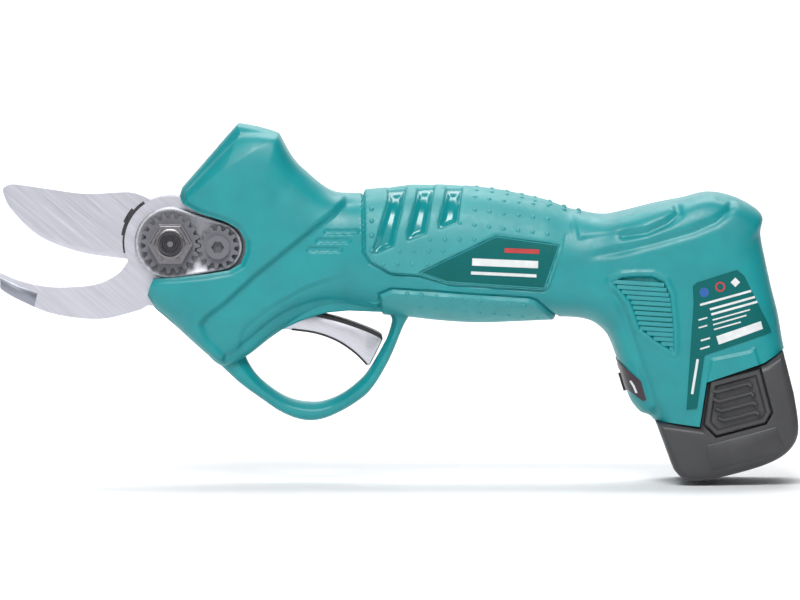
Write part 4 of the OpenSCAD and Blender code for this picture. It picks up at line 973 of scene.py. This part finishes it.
dress(turned("bolt_end", [(3.9, -21.8), (3.9, -22.2), (3.6, -22.45), (2.9, -22.45), (2.7, -22.15),
                          (2.1, -22.15), (1.9, -22.4), (1.35, -22.4), (1.1, -22.0), (0.2, -21.95)]),
      GUNMETAL, "tool_body", "gunmetal", angle=28)
dress(turned("nut_face", [(5.5, -20.2), (5.4, -20.8), (5.0, -21), (4.5, -21), (4.3, -20.7), (4.2, -20.2)]),
      WORN, "tool_body", "gunmetal", angle=28)

nut_hex = slab("nut_hex", disc(8.15, (0, 0), 6), [(0, -17), (0, -20.1), (0.9, -20.66), (2, -20.66),
                                                  (2.3, -20.3)])
dress(outward(nut_hex), WORN, "tool_body", "gunmetal", angle=25)

# --- Head plate with its raised rim ---
PLATE_NEAR, PLATE_FAR = -13.5, -10.1
lock_at = (16.95, -1.3)
cloud = np.vstack([disc(12.9, (0, 0), 90), disc(8.9, lock_at, 90)])
support = [cloud[np.argmax(cloud @ (math.cos(a), math.sin(a)))] for a in np.radians(np.arange(0, 360, 2.0))]
hull = np.array([p for k, p in enumerate(support) if np.linalg.norm(p - support[k - 1]) > 0.05])
cover = slab("cover", hull, [(0.4, PLATE_FAR), (0, PLATE_FAR - 0.4), (0, PLATE_NEAR + 0.5),
                             (0.25, PLATE_NEAR + 0.12), (0.6, PLATE_NEAR), (1.3, PLATE_NEAR + 0.05),
                             (1.75, PLATE_NEAR + 0.45)])
dress(cover, CAST, "tool_body", "cast_alloy", "head_plate", angle=50)

# --- Trigger: metal blade; a dark textured strip along its top and a dark lip along its lower edge, both painted shade ---
face_line = curved([(39.4, -31.3), (45.2, -31.8), (52.6, -33), (59.7, -35.7), (65.9, -39.9), (70.3, -44.3)],
                   1.2)
top_line = curved([(76, -35), (75.4, -33.4), (72, -31.6), (65.9, -29.2), (59.7, -27.2), (51.4, -25.2),
                   (45, -23.6)], 1.2)
lever_outline = np.vstack([face_line, [(71.4, -44.2), (73.6, -40)], top_line,
                           [(36, -20.6), (32.6, -22.6), (32.5, -25.4), (34.5, -27.4)]])
lever = slab("lever", lever_outline, [(0.9, 5.3), (0.3, 5.1), (0, 4.5), (0, -4.5), (0.3, -5.1), (0.9, -5.35)])
dress(lever, TRIGGER_FACE, "trigger", "trigger_metal", "trigger")
# Painted shade: the dark strip stands in for the shadow on the trigger's top face.
strip = slab("trigger_top_shade", np.vstack([top_line[1:-4] + (0, 0.15), (top_line - (0, 1.5))[1:-4][::-1]]),
             [(0.3, 5.6), (0, 5.3), (0, -5.3), (0.3, -5.6)])
dress(strip, BLACK, "trigger", "black_plastic")
# Painted shade: the dark lip stands in for the shade on the trigger's rounded lower edge.
lip = slab("trigger_lower_edge_shade", np.vstack([face_line[3:] + (0.15, 0.55), face_line[3:][::-1] + (-0.1, -0.15)]),
           [(0.1, 5.5), (0, 5.3), (0, -5.3), (0.1, -5.5)])
dress(lip, BLACK, "trigger", "black_plastic")

# --- Pack ---
case_top = [(u, v - 0.5) for u, v in reversed(SKIRT)]
case_top[0], case_top[-1] = (27.4, case_top[0][1]), (-23.1, case_top[-1][1])
case_outline = in_pack([tuple(q) for q in curved(PACK_SIDE, 1.6)] + case_top)
case = slab("case", case_outline, soft_profile(PACK_HALF, -PACK_HALF, 3.0, 5))
tower = slab("tool", in_pack([(TOWER_U - TOWER_HALF, 10), (TOWER_U + TOWER_HALF, 10),
                              (TOWER_U + TOWER_HALF, 40),
                              (TOWER_U - TOWER_HALF, 40)]), [(3, TOWER_HALF), (0, TOWER_HALF - 3),
                                                             (0, 3 - TOWER_HALF), (3, -TOWER_HALF)])
combine(outward(case), "UNION", [outward(tower)])
w, h = BUTTON_SIZE[0] / 2, BUTTON_SIZE[1] / 2
button_shape = [(-w + 3, -h), (w - 3, -h), (w, -h + 3), (w, h), (-w + 6, h), (-w, -h + 5)]
button_outline = in_pack([(BUTTON_AT[0] + u, BUTTON_AT[1] + v) for u, v in button_shape])
POCKET_DEEP = 4.1
pocket = inset(button_outline, -0.75)
combine(case, "DIFFERENCE", [outward(prism(pocket, -CLEAR_Y, -PACK_HALF + POCKET_DEEP)),
                             outward(prism(pocket, PACK_HALF - POCKET_DEEP, CLEAR_Y))])
dress(case, PACK, "pack", "pack_plastic", "battery_case", angle=25)
face_y = PACK_HALF
button = slab("release_far", button_outline, [(0, face_y - 2.4), (0, face_y - 0.4), (0.35, face_y),
                                              (1.5, face_y), (2.3, face_y - 1.1)])
ribs = []
for k in range(4):
    v = BUTTON_AT[1] - 5.6 + 3.5 * k
    u = BUTTON_AT[0]
    shape = [(u - 7.4, v + 1.7), (u - 5.2, v), (u + 6.2, v), (u + 7.2, v - 1.1), (u + 8.4, v - 0.4),
             (u + 7.4, v + 1.5), (u - 4.7, v + 1.5), (u - 6.6, v + 2.9)]
    ribs.append(outward(slab("tool", in_pack(shape), [(0, face_y - 1.6), (0, face_y - 0.1),
                                                      (0.4, face_y + 0.4)])))
combine(outward(button), "UNION", ribs)
near_button = mirrored(button, "release_near")
dress(near_button, PACK, "release_left", "pack_plastic", "release_left", angle=25)
dress(button, PACK, "release_right", "pack_plastic", "release_right", angle=25)
plaque = slab("pack_plaque_right", in_pack([(-8.5, 2.8), (19, 2.8), (18, 12), (-8, 12)]),
              [(0, face_y - 1), (0, face_y + 0.1), (0.3, face_y + 0.3)])
outward(plaque)
near_plaque = mirrored(plaque, "pack_plaque_left")
dress(near_plaque, PACK, "pack", "pack_plastic")
dress(plaque, PACK, "pack", "pack_plastic")

# --- Stage, light and camera ---
FLOOR_Z = START_BOX[0][2] - 0.0005
FRONT_Y, BEND_Y, BEND_R, WALL_TOP, HALF_WIDTH = -0.6, 0.9, 0.5, 2.2, 1.8
bend = [math.pi / 2 * k / 24 for k in range(25)]
path = [(FRONT_Y, FLOOR_Z)]
path += [(BEND_Y + BEND_R * math.sin(a), FLOOR_Z + BEND_R * (1 - math.cos(a))) for a in bend]
path += [(BEND_Y + BEND_R, WALL_TOP)]
verts = [(x, y, z) for y, z in path for x in (-HALF_WIDTH, HALF_WIDTH)]
mesh = bpy.data.meshes.new("floor")
mesh.from_pydata(verts, [], [(2 * k, 2 * k + 1, 2 * k + 3, 2 * k + 2) for k in range(len(path) - 1)])
mesh.polygons.foreach_set("use_smooth", np.ones(len(mesh.polygons), bool))
floor = bpy.data.objects.new("floor", mesh)
bpy.context.scene.collection.objects.link(floor)
floor_paint = moulded("floor_paint", (0.9, 0.9, 0.91, 1), (0.9, 0.9, 0.91, 1), 0.8, 300, 0.02)
# The floor and wall show from their lit side only, so the wall never hides the tool from behind.
tree = floor_paint.node_tree
painted = tree.nodes["Material Output"].inputs["Surface"].links[0].from_socket
one_sided = tree.nodes.new("ShaderNodeMixShader")
tree.links.new(tree.nodes.new("ShaderNodeNewGeometry").outputs["Backfacing"], one_sided.inputs["Fac"])
tree.links.new(painted, one_sided.inputs[1])
tree.links.new(tree.nodes.new("ShaderNodeBsdfTransparent").outputs[0], one_sided.inputs[2])
tree.links.new(one_sided.outputs[0], tree.nodes["Material Output"].inputs["Surface"])
floor.data.materials.append(floor_paint)


def area_light(name, place, target, size, power):
    light = bpy.data.lights.new(name, "AREA")
    light.size, light.energy = size, power
    obj = bpy.data.objects.new(name, light)
    bpy.context.scene.collection.objects.link(obj)
    obj.location = place
    obj.rotation_euler = (Vector(target) - Vector(place)).to_track_quat("-Z", "Y").to_euler()


CENTRE = Vector((0.0822, 0, -0.0211))
area_light("key", (0.0, -0.85, 0.8), CENTRE, 0.55, 12.5)
area_light("fill", (-0.15, -1.7, 0.35), CENTRE, 1.1, 2.6)
area_light("rim", (0.2, 0.6, 0.9), CENTRE, 0.7, 3.5)
area_light("backdrop", (0.08, 0.5, 1.1), (0.08, 1.4, 0.2), 1.0, 16)

# The world lights the tool softly and is paler where it is seen past the floor.
WORLD_LIGHT, WORLD_SEEN = 0.14, 0.85
world = bpy.data.worlds.new("studio")
world.use_nodes = True
world.node_tree.nodes["Background"].inputs["Color"].default_value = (0.93, 0.95, 1, 1)
ray = world.node_tree.nodes.new("ShaderNodeLightPath")
glow = world.node_tree.nodes.new("ShaderNodeMapRange")
glow.inputs["To Min"].default_value, glow.inputs["To Max"].default_value = WORLD_LIGHT, WORLD_SEEN
world.node_tree.links.new(ray.outputs["Is Camera Ray"], glow.inputs["Value"])
world.node_tree.links.new(glow.outputs["Result"], world.node_tree.nodes["Background"].inputs["Strength"])
bpy.context.scene.world = world
bpy.context.scene.view_settings.view_transform = "Standard"

camera_data = bpy.data.cameras.new("camera")
camera_data.lens, camera_data.sensor_width = 400, 36
camera_data.clip_end = 20
camera = bpy.data.objects.new("camera", camera_data)
bpy.context.scene.collection.objects.link(camera)
CAMERA_TILT, CAMERA_AWAY = math.radians(3), 3.2
camera.location = CENTRE + Vector((0, -math.cos(CAMERA_TILT), math.sin(CAMERA_TILT))) * CAMERA_AWAY
camera.rotation_euler = (CENTRE - camera.location).to_track_quat("-Z", "Y").to_euler()
bpy.context.scene.camera = camera
